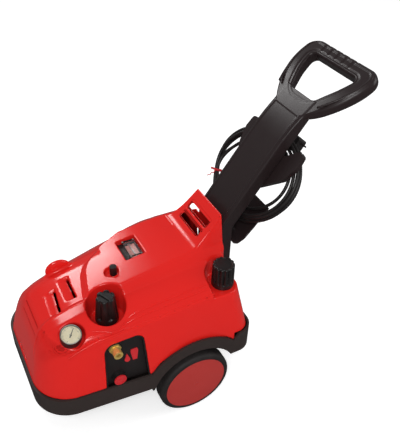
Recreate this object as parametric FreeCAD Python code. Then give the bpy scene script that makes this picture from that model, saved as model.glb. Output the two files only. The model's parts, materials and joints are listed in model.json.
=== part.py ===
import FreeCAD, Part
import math
import os

V = FreeCAD.Vector

# Cold-water electric pressure washer on two wheels and a swivelling front castor.
# All sizes are in millimetres. The machine is modelled about its axle: X runs from the nose
# (negative) to the handle, Y to the far side, Z up from the floor, and the whole is moved at the
# end so that the origin lies on the floor under the middle of its bounding box.

# ---- Driving dimensions ---------------------------------------------------------------------
rear_half = 203.0
wheel_r = 100.0
tyre_width = 45.0
tyre_depth = 14.0
wheel_proud = 6.5
wheel_face_y = rear_half + wheel_proud
cover_dome = 2.5
axle_r, axle_set_in = 9.0, 5.5
axle_end_y = wheel_face_y - axle_set_in
hub_r, hub_set_in, rim_ribs = 20.0, 9.5, 8
hub_end_y = wheel_face_y - hub_set_in
hub_inner_y = wheel_face_y - tyre_width - 4
washer_r = 15.0
running_gap = 0.05
soft_gap = 0.3

tray_bottom = 131.0
tray_floor = 6.0
tray_wall = 6.0
tray_chamfer = 11.0
tail_bottom = 155.0
tail_x = 96.0
seam_z = 198.0
tail_seam = 226.0
arch_r = 120.0
fender_band = 35.0
well_wall = 5.0
well_depth = 53.0
well_y = rear_half - well_depth
axle_lug_in, axle_lug_t = 24.0, 14.0

nose_x = -398.0
nose_half = 182.0
nose_corner = 95.0
nose_bend_x = -130.0
rear_x = 178.0
rear_corner = 45.0
hood_setback = 4.0
hood_wall = 4.0
side_draft = 0.09
nose_draft = 0.2
rear_draft = 0.218
hood_reach = 600.0
hump_front_x = -60.0
hump_rear_x = 135.0
hump_half = 90.0
hump_foot_x = 60.0
hump_top_z = 450.0

crater_x, crater_in, crater_floor = -198.0, 91.0, 352.0
crater_y = crater_in - rear_half
crater_r_low, crater_r_high, crater_top = 41.0, 54.0, 440.0
cap_x, cap_in, scoop_floor, scoop_r = 101.0, 60.0, 370.0, 46.0
cap_y = cap_in - rear_half
gauge_x, gauge_in, gauge_face_z = -296.0, 59.0, 378.0
gauge_y = gauge_in - rear_half
gauge_tilt = 17.0
gauge_r, gauge_depth, gauge_recess_r, gauge_stem_r = 25.0, 22.0, 31.0, 6.5
small_knob_x, small_knob_y, small_floor, small_recess_r = -149.0, -37.0, 411.0, 17.0
switch_x0, switch_x1, switch_y0, switch_y1, switch_floor = -108.0, -57.0, -21.0, 55.0, 412.0

rocker_x0, rocker_x1, rocker_y0, rocker_y1 = -87.0, -63.0, -4.0, 40.0
rocker_pin_r, rocker_pin_rise, rocker_tilt = 1.5, 6.6, 8.0
cover_x0, cover_x1, cover_y0, cover_y1, cover_height = -94.0, -59.0, -14.0, 50.0, 12.0
switch_plate_t, switch_box_depth = 5.0, 62.0

panel_x0, panel_x1, panel_z0, panel_z1, panel_corner = -239.0, -124.0, 160.0, 343.0, 22.0
panel_inset, panel_thick = 10.0, 4.0
slot_width, slot_half, slot_places = 8.0, 46.0, (77.0, 101.0)
louver_width, louver_turn, louver_places = 5.0, -8.0, (-305.0, -268.0)
louver_y0, louver_y1, louver_low = -86.0, -26.0, 300.0
lug_x, lug_y, lug_z = -264.0, 66.0, 388.0
lug_half_x, lug_half_y, lug_half_z = 30.0, 12.0, 24.0
outlet_x, outlet_z, outlet_r, outlet_out = -206.0, 317.0, 11.0, 27.0
inlet_x, inlet_z, inlet_r, inlet_out = -203.0, 215.0, 13.2, 7.0
outlet_seat, inlet_seat = 3.0, 2.5
outlet_bore_r, inlet_bore_r = 6.0, 9.5
hexagon_half, hexagon_t = 15.0, 7.0

column_lean = 36.0
column_half = 60.0
column_front = -170.0
column_depth = 36.0
column_wall = 4.0
foot_depth = 37.0
grip_rise = 30.0
grip_x, grip_z = 504.0, 838.0
grip_bar_r = 17.0
grip_half = 122.0
grip_edge = 11.0
grip_core_r = 12.0
pad_half, pad_proud, pad_grooves, pad_pitch = 62.0, 1.5, 5, 22.0

cleat_low, cleat_high, cleat_half, cleat_thick = 596.0, 736.0, 116.0, 14.0
pocket_half, pocket_thick, pocket_gap, pocket_z, pocket_top = 70.0, 5.0, 3.0, 424.0, 566.0
coil_u, coil_y, coil_half_y, coil_half_u = 614.0, 18.0, 165.0, 130.0
coil_thick, coil_bundle, coil_tilt = 30.0, 32.0, 12.0
coil_n = column_front + column_depth + cleat_thick + soft_gap + coil_thick / 2
cord_r, gland_r, gland_neck_r = 4.5, 11.0, 8.0
plug_u, plug_depth, plug_pin_r, plug_pin_pitch, tie_r, tie_angle = 737.0, 30.0, 2.4, 19.0, 1.3, -22.0

castor_x, castor_trail, castor_r, castor_width = -240.0, 30.0, 38.0, 22.0
castor_plate_t, kingpin_r, castor_pin_r = 4.0, 6.0, 4.0
castor_leg_gap, castor_crown_t = 3.0, 12.0
castor_crown_top = tray_bottom - castor_plate_t - soft_gap

foot_bolt_r = 4.0
foot_bolts = [(-42.0, 262.0), (42.0, 262.0), (-42.0, 350.0), (42.0, 350.0)]
knob_low, knob_top, knob_r_low, knob_r_top, knob_ribs = 354.0, 428.0, 28.5, 22.5, 12
spindle_r, spindle_gap = 6.0, 3.0
dose_low, dose_top, dose_r, dose_spindle_r, dose_gap = 415.0, 439.0, 9.0, 3.0, 1.5
cap_low, cap_top, cap_r, cap_wall, cap_seal_t, cap_ribs = 371.0, 437.0, 28.5, 3.0, 2.5, 20
motor_z, motor_r, motor_x0, motor_x1 = 240.0, 76.0, -70.0, 95.0
tank_neck_r, tank_neck_wall, tank_neck_top, tank_wall = 22.0, 2.5, 384.0, 3.0
tank_x0, tank_x1, tank_z1 = 20.0, 128.0, 356.0
tank_past_neck, tank_motor_gap = 23.0, 12.0
tank_y0 = cap_y - tank_past_neck
tank_y1 = -motor_r - tank_motor_gap
tank_z0 = wheel_r + arch_r + well_wall + soft_gap
motor_shell, shaft_r, rotor_r = 14.0, 8.0, 50.0
mount_r, motor_foot_t = 12.0, 6.0
pump_x0, head_x0 = -178.0, -236.0
pipe_r, hose_r, tower_r = 5.0, 7.0, 13.0


# ---- Small helpers --------------------------------------------------------------------------
up = V(0, 0, 1)
axle_axis = V(0, 1, 0)
outward = V(0, -1, 0)


def box(x0, x1, y0, y1, z0, z1):
    return Part.makeBox(x1 - x0, y1 - y0, z1 - z0, V(x0, y0, z0))


def cylinder(base, axis, radius, height):
    return Part.makeCylinder(radius, height, base, axis)


def cone(base, axis, r0, r1, height):
    return Part.makeCone(r0, r1, height, base, axis)


def ring(base, axis, r_out, r_in, height):
    return cylinder(base, axis, r_out, height).cut(cylinder(base, axis, r_in, height))


def rounded_wire(points, radii):
    """Closed wire through the points, each corner rounded by its own radius (0 keeps it sharp)."""
    edges = []
    starts = []
    ends = []
    count = len(points)
    for i, corner in enumerate(points):
        before = (points[i - 1] - corner).normalize()
        after = (points[(i + 1) % count] - corner).normalize()
        half = math.acos(max(-1.0, min(1.0, before.dot(after)))) / 2
        radius = radii[i]
        reach = radius / math.tan(half)
        starts.append(corner + before * reach)
        ends.append(corner + after * reach)
        if radius > 0:
            inward = (before + after).normalize()
            middle = corner + inward * (radius / math.sin(half) - radius)
            edges.append(Part.Arc(starts[i], middle, ends[i]).toShape())
    wire_edges = []
    arc = iter(edges)
    for i in range(count):
        if radii[i] > 0:
            wire_edges.append(next(arc))
        following = starts[(i + 1) % count]
        if ends[i].distanceToPoint(following) > 1e-6:
            wire_edges.append(Part.makeLine(ends[i], following))
    return Part.Wire(wire_edges)


def plate(points, radii, thickness):
    if not isinstance(radii, (list, tuple)):
        radii = [radii] * len(points)
    return Part.Face(rounded_wire(points, radii)).extrude(thickness)


def side_prism(outline, y0, y1, radius=0.0):
    return plate([V(x, y0, z) for x, z in outline], radius, V(0, y1 - y0, 0))


def mirrored(shape):
    return shape.mirror(V(0, 0, 0), V(0, 1, 0))


def both_sides(shape):
    return shape.fuse(mirrored(shape))


def rounded(shape, radius, keep):
    edges = [edge for edge in shape.Edges if keep(edge)]
    return shape.makeFillet(radius, edges)


def compound(shapes):
    return Part.makeCompound(shapes)


# ---- Body form ------------------------------------------------------------------------------
def plan_wire(z, inset):
    """Plan outline of the hood at a height, drawn in by inset; the walls lean inwards as they rise."""
    rise = z - seam_z
    lean = rise * side_draft + inset
    front = nose_x + rise * nose_draft + inset
    rear = rear_x - rise * rear_draft - inset
    half_nose = nose_half - lean
    half_rear = rear_half - lean
    points = [V(front, -half_nose, z), V(nose_bend_x, -half_rear, z), V(rear, -half_rear, z),
              V(rear, half_rear, z), V(nose_bend_x, half_rear, z), V(front, half_nose, z)]
    nose_round = nose_corner - inset
    rear_round = rear_corner - inset
    return rounded_wire(points, [nose_round, 200, rear_round, rear_round, 200, nose_round])


def body_form(inset):
    low = plan_wire(tray_bottom - 20, inset)
    high = plan_wire(560, inset)
    return Part.makeLoft([low, high], True, True)


# Cross-sections of the hood's top from nose to rear: station, roof height, roof half width,
# height and half width where the shoulder starts, height and half width of the upper crease on the
# near side, and the radius in which the roof rolls over to the far side.
crown = [
    (-425, 252, 62, 248, 66, 228, 100, 60),
    (-398, 306, 72, 302, 76, 282, 116, 60),
    (-366, 354, 82, 350, 86, 330, 132, 62),
    (-327, 384, 85, 381, 88, 356, 143, 64),
    (-270, 402, 85, 399, 88, 374, 149, 77),
    (-144, 424, 85, 421, 88, 385, 152, 113),
    (-53, 439, 85, 436, 88, 391, 152, 134),
    (5, 447, 83, 441, 88, 395, 152, 148),
    (56, 450, 77, 443, 86, 397, 152, 144),
    (92, 479, 69, 444, 82, 399, 152, 144),
    (135, 526, 63, 445, 78, 400, 152, 144),
    (190, 586, 56, 446, 74, 402, 152, 144),
]
crown_edge_y = 240.0
crown_roll_y = 25.0
crown_roll_steps = (0.35, 0.7, 1.05, 1.4)
ledge_slope = 0.52


def crown_section(row, inset):
    x, roof_z, roof_half, top_z, top_half, crease_z, crease_half, roll_r = row
    drop = inset * 1.1
    pull = inset * 0.45
    edge_z = crease_z - ledge_slope * (crown_edge_y - crease_half) - drop
    near = [(-crown_edge_y, 0), (-crown_edge_y, edge_z), (pull - crease_half, crease_z - drop),
            (pull - top_half, top_z - drop), (pull - roof_half, roof_z - drop)]
    far = [(crown_roll_y, roof_z - drop)]
    if x > hump_foot_x:
        far = [(roof_half - pull, roof_z - drop)]
    for step in crown_roll_steps:
        y = crown_roll_y + step * roll_r
        z = min(roof_z, hump_top_z) - step ** 2 * roll_r / 2
        if x > hump_foot_x:
            y = max(y, top_half - pull + 20 * step)
        far.append((y - pull, z - drop))
    slope = crown_roll_steps[-1]
    far += [(crown_edge_y, far[-1][1] - slope * (crown_edge_y - far[-1][0])), (crown_edge_y, 0)]
    points = [V(x, y, z) for y, z in near + far]
    return Part.makePolygon(points + [points[0]])


def crown_form(inset):
    return Part.makeLoft([crown_section(row, inset) for row in crown], True, False)


def seam_profile():
    """Side outline of the line where the hood sits on the tray."""
    return [(nose_x - 20, seam_z), (tail_x + 8, seam_z), (tail_x + 34, tail_seam), (rear_x + 20, tail_seam)]


def hood_form(inset):
    """Closed outer form of the hood, drawn in by inset."""
    hump = box(hump_front_x, hump_rear_x - inset, -hump_half + inset, hump_half - inset, seam_z, hood_reach)
    form = body_form(inset + hood_setback).fuse(hump)
    return form.common(crown_form(inset))


# ---- Tray, wheel wells and fenders ----------------------------------------------------------
def axle_cylinder(radius, y0, y1):
    return cylinder(V(0, y0, wheel_r), axle_axis, radius, y1 - y0)


def upright_plan(inset, z0, z1):
    wire = plan_wire(seam_z, inset)
    wire.translate(V(0, 0, z0 - seam_z))
    return Part.Face(wire).extrude(V(0, 0, z1 - z0))


def tray_form():
    low = plan_wire(seam_z, tray_chamfer)
    low.translate(V(0, 0, tray_bottom - seam_z))
    high = plan_wire(seam_z, 0)
    high.translate(V(0, 0, tray_bottom + tray_chamfer - seam_z))
    skirt = Part.makeLoft([low, high], True, True)
    return skirt.fuse(upright_plan(0, tray_bottom + tray_chamfer, tail_seam + 40))


def make_chassis():
    top = seam_profile()
    below = top + [(rear_x + 20, tail_bottom), (tail_x, tail_bottom), (tail_x, tray_bottom - 5),
                   (nose_x - 20, tray_bottom - 5)]
    inner_low = tray_bottom + tray_floor
    inner_tail = tail_bottom + tray_floor
    hollow = [(nose_x - 20, inner_low), (tail_x + tray_floor, inner_low), (tail_x + tray_floor, inner_tail),
              (rear_x + 20, inner_tail), (rear_x + 20, 400), (nose_x - 20, 400)]
    wide = rear_half + 20
    outer = tray_form().common(side_prism(below, -wide, wide))
    cavity = upright_plan(tray_wall, tray_bottom, 400).common(side_prism(hollow, -wide, wide))
    tray = outer.cut(cavity)
    # Wheel wells: an arch over each wheel, closed towards the middle, and a band on the outside.
    well_r = arch_r + well_wall
    band_r = arch_r + fender_band
    wells = axle_cylinder(arch_r, -wide, -well_y)
    liner = axle_cylinder(well_r, -rear_half + 1, -well_y + well_wall).cut(axle_cylinder(arch_r, -wide, -well_y))
    liner = liner.cut(axle_cylinder(axle_r + 12, -wide, 0)).cut(box(-wide, wide, -wide, 0, -wide, tray_bottom))
    liner = liner.cut(box(tail_x, wide, -wide, 0, -wide, tail_bottom))
    band = axle_cylinder(band_r, -rear_half, -rear_half + tray_wall)
    band = band.cut(box(-wide, wide, -wide, 0, -wide, seam_z - 12)).cut(axle_cylinder(arch_r, -wide, 0))
    side = liner.fuse(band)
    tray = tray.cut(both_sides(wells)).fuse([side, mirrored(side)])
    # Socket that the handle column's foot stands on, and the two lugs that carry the axle.
    socket = box(hump_rear_x + 4, rear_x - 3, -column_half + 4, column_half - 4, tail_bottom + 2, tail_seam)
    lug_y1 = well_y - axle_lug_in
    lug = box(-24, 24, lug_y1 - axle_lug_t, lug_y1, wheel_r - 18, tray_bottom + 2)
    lug = rounded(lug, 14, lambda e: abs(e.CenterOfMass.z - (wheel_r - 18)) < 1e-3 and e.Length < 20)
    tray = tray.fuse([socket, lug, mirrored(lug)])
    tray = tray.cut(axle_cylinder(axle_r, -wide, wide))
    tray = tray.cut(cylinder(V(castor_x, 0, 0), V(0, 0, 1), kingpin_r, 400))
    return tray.removeSplitter()


# ---- Hood -----------------------------------------------------------------------------------
gauge_axis = V(0, -math.sin(math.radians(gauge_tilt)), math.cos(math.radians(gauge_tilt)))
gauge_face = V(gauge_x, gauge_y, gauge_face_z)


def panel_outline(shrink):
    return [(panel_x0 + shrink + 8, panel_z1 - 10 - shrink), (panel_x1 - shrink - 12, panel_z1 - shrink),
            (panel_x1 - shrink, panel_z0 + shrink), (panel_x0 + shrink, panel_z0 + shrink)]


def panel_prism(shrink):
    return side_prism(panel_outline(shrink), -rear_half - 20, -100, panel_corner - shrink)


def crater(grow):
    height = crater_top - crater_floor + grow
    base = V(crater_x, crater_y, crater_floor - grow)
    return cone(base, V(0, 0, 1), crater_r_low + grow, crater_r_high + grow, height)


def scoop(grow):
    floor = scoop_floor - grow
    around = cylinder(V(cap_x, cap_y, floor), V(0, 0, 1), scoop_r + grow, 120)
    outward = box(cap_x - scoop_r - grow, rear_x + 20, -rear_half - 30, cap_y, floor, floor + 120)
    rearward = box(cap_x, rear_x + 20, cap_y - 20, cap_y + scoop_r + grow, floor, floor + 120)
    return around.fuse([outward, rearward])


def gauge_recess(grow):
    low = gauge_face - gauge_axis * (gauge_depth + grow)
    return cone(low, gauge_axis, gauge_recess_r - 3 + grow, gauge_recess_r + 5 + grow, 70)


def small_recess(grow):
    low = V(small_knob_x - 4, small_knob_y + 2, small_floor - grow)
    return cylinder(low, V(0, 0, 1), small_recess_r + grow, 40)


def switch_recess(grow):
    return box(switch_x0 - grow, switch_x1 + grow, switch_y0 - grow, switch_y1 + grow,
               switch_floor - grow, switch_floor + 60)


def foot_notch(grow):
    return box(hump_rear_x - grow, rear_x + 30, -column_half - 2 - grow, column_half + 2 + grow,
               tail_seam - 40, hood_reach)


def louver_slot(x):
    slot = box(x, x + louver_width, louver_y0, louver_y1, louver_low, hood_reach)
    slot.rotate(V(x, (louver_y0 + louver_y1) / 2, 0), up, louver_turn)
    return slot


def hump_slot(x):
    return box(x, x + slot_width, -slot_half, slot_half, scoop_floor, hood_reach)


def floor_hole(x, y, floor, radius):
    """Hole through the floor of a recess."""
    return cylinder(V(x, y, floor - 2 * hood_wall), up, radius, 3 * hood_wall)


def make_lug():
    """Moulded finger lug on the far front edge of the roof."""
    at = V(lug_x, lug_y, lug_z)
    lug = Part.makeSphere(1, V(0, 0, 0))
    matrix = FreeCAD.Matrix()
    matrix.scale(lug_half_x, lug_half_y, lug_half_z)
    lug = lug.transformGeometry(matrix)
    lug.rotate(V(0, 0, 0), V(0, 1, 0), -14)
    lug.translate(at)
    return lug


def make_hood():
    upper = seam_profile()
    above = upper + [(rear_x + 20, hood_reach), (nose_x - 20, hood_reach)]
    wide = rear_half + 20
    outer = hood_form(0)
    recesses = [crater, scoop, gauge_recess, small_recess, switch_recess, foot_notch]
    cavity = hood_form(hood_wall)
    for recess in recesses:
        cavity = cavity.cut(recess(hood_wall))
    hood = outer.cut(cavity)
    for recess in recesses:
        hood = hood.cut(recess(0))
    hood = hood.common(side_prism(above, -wide, wide))
    hood = hood.cut(panel_prism(0))
    fenders = axle_cylinder(arch_r + fender_band, -wide, -rear_half + tray_wall + 2)
    liner = axle_cylinder(arch_r + well_wall, -wide, -well_y + well_wall)
    hood = hood.cut(both_sides(fenders.fuse(liner)))
    for x in louver_places:
        hood = hood.cut(louver_slot(x))
    for x in slot_places:
        hood = hood.cut(hump_slot(x))
    hood = hood.fuse(make_lug().cut(hood_form(hood_wall / 2)))
    hood = hood.cut(floor_hole(crater_x, crater_y, crater_floor, spindle_r + spindle_gap))
    hood = hood.cut(floor_hole(small_knob_x, small_knob_y, small_floor, dose_spindle_r + dose_gap))
    hood = hood.cut(floor_hole(cap_x, cap_y, scoop_floor, tank_neck_r + 1))
    hood = hood.cut(cylinder(gauge_face - gauge_axis * (gauge_depth + 2 * hood_wall), gauge_axis,
                             gauge_stem_r + soft_gap, 3 * hood_wall))
    for y, z in foot_bolts:
        hood = hood.cut(cylinder(V(hump_rear_x - 20, y, z), V(1, 0, 0), foot_bolt_r + soft_gap, 40))
    hood = hood.cut(gland_hole())
    solids = sorted(hood.Solids, key=lambda s: -s.Volume)
    return solids[0]


def wall_band(inset, thickness):
    """Skin that follows the body's side wall at a depth."""
    return body_form(inset + hood_setback).cut(body_form(inset + thickness + hood_setback))


def make_outlet_panel():
    back = wall_band(panel_inset, panel_thick).common(panel_prism(soft_gap))
    rim = wall_band(0.6, panel_inset + panel_thick - 0.6)
    rim = rim.common(panel_prism(soft_gap).cut(panel_prism(soft_gap + 3)))
    above = seam_profile() + [(rear_x + 20, 600), (nose_x - 20, 600)]
    panel = back.fuse(rim).common(side_prism(above, -rear_half - 20, -80))
    # Flat pads that the outlet and the inlet are seated on.
    for place, radius, proud in ((outlet_place, 17, outlet_seat), (inlet_place, inlet_r + 5, inlet_seat)):
        pad = cylinder(place + outward * proud, V(0, 1, 0), radius, proud + panel_thick)
        panel = panel.fuse(pad)
    for place, radius in ((outlet_place, outlet_r + 0.3), (inlet_place, inlet_r + 0.3)):
        panel = panel.cut(cylinder(place - V(0, 60, 0), V(0, 1, 0), radius, 120))
    return panel


# ---- Handle column --------------------------------------------------------------------------
lean = math.radians(column_lean)
up_axis = V(math.sin(lean), 0, math.cos(lean))
out_axis = V(math.cos(lean), 0, -math.sin(lean))
rise = math.radians(grip_rise)
grip_axis = V(math.cos(rise), 0, math.sin(rise))
grip_normal = V(-math.sin(rise), 0, math.cos(rise))
grip_centre = V(grip_x, 0, grip_z)
side_axis = V(0, 1, 0)


def on_column(u, y, n):
    return up_axis * u + side_axis * y + out_axis * n


def on_grip(s, y, m):
    return grip_centre + grip_axis * s + side_axis * y + grip_normal * m


def column_meets_x(n, x):
    """Point of the column plane at depth n that lies at x."""
    u = (x - out_axis.x * n) / up_axis.x
    return on_column(u, 0, n)


def column_meets_grip(n, m):
    """Point where the column plane at depth n meets the grip plane at height m."""
    base = on_column(0, 0, n)
    level = grip_normal.dot(on_grip(0, 0, m))
    u = (level - grip_normal.dot(base)) / grip_normal.dot(up_axis)
    return on_column(u, 0, n)


def column_profile(front_n, back_n, foot_front, foot_back, foot_low, m_top, m_low):
    return [V(foot_front, 0, foot_low), column_meets_x(front_n, foot_front), column_meets_grip(front_n, m_top),
            column_meets_grip(back_n, m_low), column_meets_x(back_n, foot_back), V(foot_back, 0, foot_low)]


def extruded(points, half):
    return plate([p + V(0, -half, 0) for p in points], 0, V(0, 2 * half, 0))


def make_column():
    back_n = column_front + column_depth
    foot_front = hump_rear_x + soft_gap
    foot_back = hump_rear_x + foot_depth
    outer = extruded(column_profile(column_front, back_n, foot_front, foot_back, tail_seam,
                                    grip_bar_r, -grip_bar_r), column_half)
    hollow = extruded(column_profile(column_front + column_wall, back_n + 60, foot_front + column_wall,
                                     foot_back + 60, tail_seam - 30, grip_bar_r - 2, -grip_bar_r),
                      column_half - column_wall)
    top = extruded([column_meets_grip(column_front, grip_bar_r), column_meets_grip(back_n, -grip_bar_r),
                    column_meets_grip(back_n, -grip_bar_r) - up_axis * 14,
                    column_meets_grip(column_front, grip_bar_r) - up_axis * 14], column_half)
    column = outer.cut(hollow.cut(top))
    # A pair of raised ribs runs up the front face beside each edge.
    for offset in (column_half - 6, column_half - 13):
        low = column_meets_x(column_front, foot_front) + up_axis * 26
        high = column_meets_grip(column_front, grip_bar_r) - up_axis * 6
        rib = plate([low + V(0, offset - 1.5, 0), high + V(0, offset - 1.5, 0), high + V(0, offset + 1.5, 0),
                     low + V(0, offset + 1.5, 0)], 0, out_axis * -1.5)
        column = column.fuse([rib, mirrored(rib)])
    for y, z in foot_bolts:
        column = column.cut(cylinder(V(foot_front - 10, y, z), V(1, 0, 0), foot_bolt_r + soft_gap, 30))
    return column.removeSplitter()


def make_grip():
    neck_top = column_meets_grip(column_front, grip_bar_r)
    neck_low = column_meets_grip(column_front + column_depth, -grip_bar_r)
    s_top = (neck_top - grip_centre).dot(grip_axis)
    s_low = (neck_low - grip_centre).dot(grip_axis)
    start = min(s_top, s_low) - 5
    flare = start + 34
    points = [on_grip(start, -column_half, -grip_bar_r), on_grip(flare, -column_half, -grip_bar_r),
              on_grip(-12, -grip_half, -grip_bar_r), on_grip(grip_bar_r, -grip_half + 4, -grip_bar_r)]
    points += [V(p.x, -p.y, p.z) for p in reversed(points)]
    outline = plate(points, [0, 60, 20, 15, 15, 20, 60, 0], grip_normal * (2 * grip_bar_r))
    hole_far = -grip_bar_r
    hole_near = hole_far - 107
    hole = [on_grip(hole_near, -36, -40), on_grip(hole_far, -86, -40), on_grip(hole_far, 86, -40),
            on_grip(hole_near, 36, -40)]
    grip = outline.cut(plate(hole, [14, 18, 18, 14], grip_normal * 80))
    long_edges = [edge for edge in grip.Edges if abs(abs((edge.CenterOfMass - grip_centre).dot(grip_normal))
                                                      - grip_bar_r) < 1e-3
                  and (edge.CenterOfMass - grip_centre).dot(grip_axis) > start + 1]
    grip = grip.makeFillet(grip_edge, long_edges)
    far = grip_axis * 400
    keep = plate([neck_top + V(0, -300, 0), neck_low + V(0, -300, 0), neck_low + V(0, -300, 0) - grip_normal * 60
                  + far, neck_top + V(0, -300, 0) + grip_normal * 60 + far], 0, V(0, 600, 0))
    return grip.common(keep).cut(pad_sleeve())


def pad_sleeve():
    return ring(on_grip(0, -pad_half, 0), side_axis, grip_bar_r + pad_proud, grip_core_r, 2 * pad_half)


def make_grip_pad():
    sleeve = pad_sleeve()
    for k in range(pad_grooves):
        y = pad_pitch * (k - (pad_grooves - 1) / 2)
        groove = ring(on_grip(0, y - 1.5, 0), side_axis, grip_bar_r + 5, grip_bar_r, 3)
        sleeve = sleeve.cut(groove)
    return sleeve


def make_cleat():
    back_n = column_front + column_depth
    half = [(0, cleat_low), (44, cleat_low + 2), (104, cleat_low + 60), (cleat_half, cleat_high - 36),
            (cleat_half - 4, cleat_high - 4), (cleat_half - 22, cleat_high), (62, cleat_high - 34), (0, cleat_high - 46)]
    points = [on_column(u, -y, back_n) for y, u in half] + [on_column(u, y, back_n) for y, u in reversed(half[1:-1])]
    radii = [0, 22, 30, 14, 9, 9, 30, 0, 30, 9, 9, 14, 30, 22]
    wings = plate(points, radii, out_axis * cleat_thick)
    peg_n = back_n + cleat_thick
    peg_top = coil_u + coil_half_u - coil_bundle - 4
    peg = plate([on_column(peg_top - 62, -34, peg_n), on_column(peg_top - 62, 34, peg_n), on_column(peg_top, 26, peg_n),
                 on_column(peg_top, -26, peg_n)], 12, out_axis * (coil_thick + 6))
    return wings.fuse(peg)


def make_pocket():
    """J-shaped lower hook: a floor that leaves the column's foot and turns up into a tall lip."""
    foot_back = hump_rear_x + foot_depth
    start = V(foot_back, 0, pocket_z)
    n0 = start.dot(out_axis)
    u0 = start.dot(up_axis)
    lip = coil_n + coil_thick / 2 + pocket_gap
    below = V(foot_back, 0, pocket_z - pocket_thick)
    outer = [below, on_column(u0 - 1, 0, n0 + 18), on_column(u0 + 18, 0, lip + pocket_thick),
             on_column(u0 + 60, 0, lip + pocket_thick + 5), on_column(pocket_top, 0, lip + pocket_thick + 9)]
    inner = [on_column(pocket_top, 0, lip + 9), on_column(u0 + 60, 0, lip + 5), on_column(u0 + 20, 0, lip),
             on_column(u0 + 6, 0, n0 + 16), start]
    points = [p + V(0, -pocket_half, 0) for p in outer + inner]
    return plate(points, [0, 8, 16, 0, 1.5, 1.5, 0, 12, 6, 0], V(0, 2 * pocket_half, 0))


def make_foot_bolts():
    front = hump_rear_x + soft_gap + column_wall
    parts = []
    for y, z in foot_bolts:
        head = cylinder(V(front, y, z), V(1, 0, 0), 6.5, 5)
        shank = cylinder(V(front - 16, y, z), V(1, 0, 0), foot_bolt_r, 16)
        nut = cylinder(V(hump_rear_x - hood_wall - 6, y, z), V(1, 0, 0), 7, 6)
        parts.append(head.fuse(shank).fuse(nut))
    return compound(parts)


# ---- Cable ----------------------------------------------------------------------------------
def coil_axes():
    tilt = math.radians(coil_tilt)
    major = side_axis * math.cos(tilt) - up_axis * math.sin(tilt)
    minor = up_axis * math.cos(tilt) + side_axis * math.sin(tilt)
    return major, minor


def make_coil():
    back = coil_n - coil_thick / 2
    major, minor = coil_axes()
    centre = on_column(coil_u, coil_y, back)

    def oval(half_major, half_minor):
        curve = Part.Ellipse(centre + major * half_major, centre + minor * half_minor, centre)
        return Part.Face(Part.Wire(curve.toShape()))

    outer = oval(coil_half_y, coil_half_u).extrude(out_axis * coil_thick)
    inner = oval(coil_half_y - coil_bundle, coil_half_u - coil_bundle).extrude(out_axis * coil_thick)
    return outer.cut(inner)


# Middle line of the uncoiled lead, from the strain relief up to the coil.
lead_route = [V(190, 112, 305), V(221, 112, 305), V(243, 113, 326), V(249, 114, 359), V(241, 115, 393),
              V(227, 116, 424), V(216, 117, 453)]


def bends(points):
    """Edges of straight runs joined by tangent arcs, each as large as its two runs allow."""
    edges = []
    turns = []
    start = points[0]
    for before, corner, after in zip(points, points[1:], points[2:]):
        back = before - corner
        on = after - corner
        run = min(back.Length, on.Length)
        back.normalize()
        on.normalize()
        turn = math.pi - back.getAngle(on)
        reach = 0.45 * run
        bend = reach / math.tan(turn / 2)
        middle = corner + (back + on).normalize() * (bend / math.cos(turn / 2) - bend)
        edges.append(Part.LineSegment(start, corner + back * reach).toShape())
        edges.append(Part.Arc(corner + back * reach, middle, corner + on * reach).toShape())
        turns.append((bend, turn))
        start = corner + on * reach
    edges.append(Part.LineSegment(start, points[-1]).toShape())
    return edges, turns


def pipe(points, radius):
    edges, turns = bends(points)
    section = Part.Wire(Part.Circle(points[0], points[1] - points[0], radius).toShape())
    return Part.Wire(edges).makePipeShell([section], True, False)


def make_lead():
    edges, turns = bends(lead_route)
    for bend, turn in turns:
        print("lead bend radius %.1f mm at a turn of %.0f degrees" % (bend, math.degrees(turn)))
    length = sum(edge.Length for edge in edges)
    lead = pipe(lead_route, cord_r)
    print("lead length %.1f mm, volume ratio %.4f" % (length, lead.Volume / (math.pi * cord_r ** 2 * length)))
    return lead


# ---- Wheels ---------------------------------------------------------------------------------
def make_tyre():
    tyre = ring(V(0, -wheel_face_y, wheel_r), axle_axis, wheel_r, wheel_r - tyre_depth, tyre_width)
    return rounded(tyre, 9, lambda e: abs(e.BoundBox.ZLength - 2 * wheel_r) < 0.1)


def make_rim():
    rim_r = wheel_r - tyre_depth
    inner_y = -wheel_face_y + tyre_width
    band = ring(V(0, -wheel_face_y + 2, wheel_r), axle_axis, rim_r, rim_r - 6, tyre_width - 4)
    web = ring(V(0, inner_y - 20, wheel_r), axle_axis, rim_r - 3, hub_r - 1, 6)
    hub = cylinder(V(0, -hub_end_y, wheel_r), axle_axis, hub_r, hub_end_y + inner_y + 4)
    rim = band.fuse([web, hub])
    for k in range(rim_ribs):
        rib = box(hub_r - 2, rim_r - 4, inner_y - 32, inner_y - 18, -2.5, 2.5)
        rib.rotate(V(0, 0, 0), axle_axis, 360 * k / rim_ribs)
        rib.translate(V(0, 0, wheel_r))
        rim = rim.fuse(rib)
    return rim.cut(axle_cylinder(axle_r + running_gap, -300, 0)).removeSplitter()


def make_wheel_cover():
    """Plain disc with a low dome, snapped onto the rim's end face."""
    edge_r = wheel_r - tyre_depth - soft_gap
    low = -wheel_face_y + 2
    thick = 2.0
    dome_r = (edge_r ** 2 + cover_dome ** 2) / (2 * cover_dome)
    ball = Part.makeSphere(dome_r, V(0, low - thick - cover_dome + dome_r, wheel_r))
    disc = cylinder(V(0, low, wheel_r), V(0, -1, 0), edge_r, thick + cover_dome)
    cover = disc.common(ball)
    dimple = cone(V(0, low - thick - cover_dome - 0.1, wheel_r), V(0, 1, 0), 6, 4, 1)
    return cover.cut(dimple)


def make_axle():
    return axle_cylinder(axle_r, -axle_end_y, axle_end_y)


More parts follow.
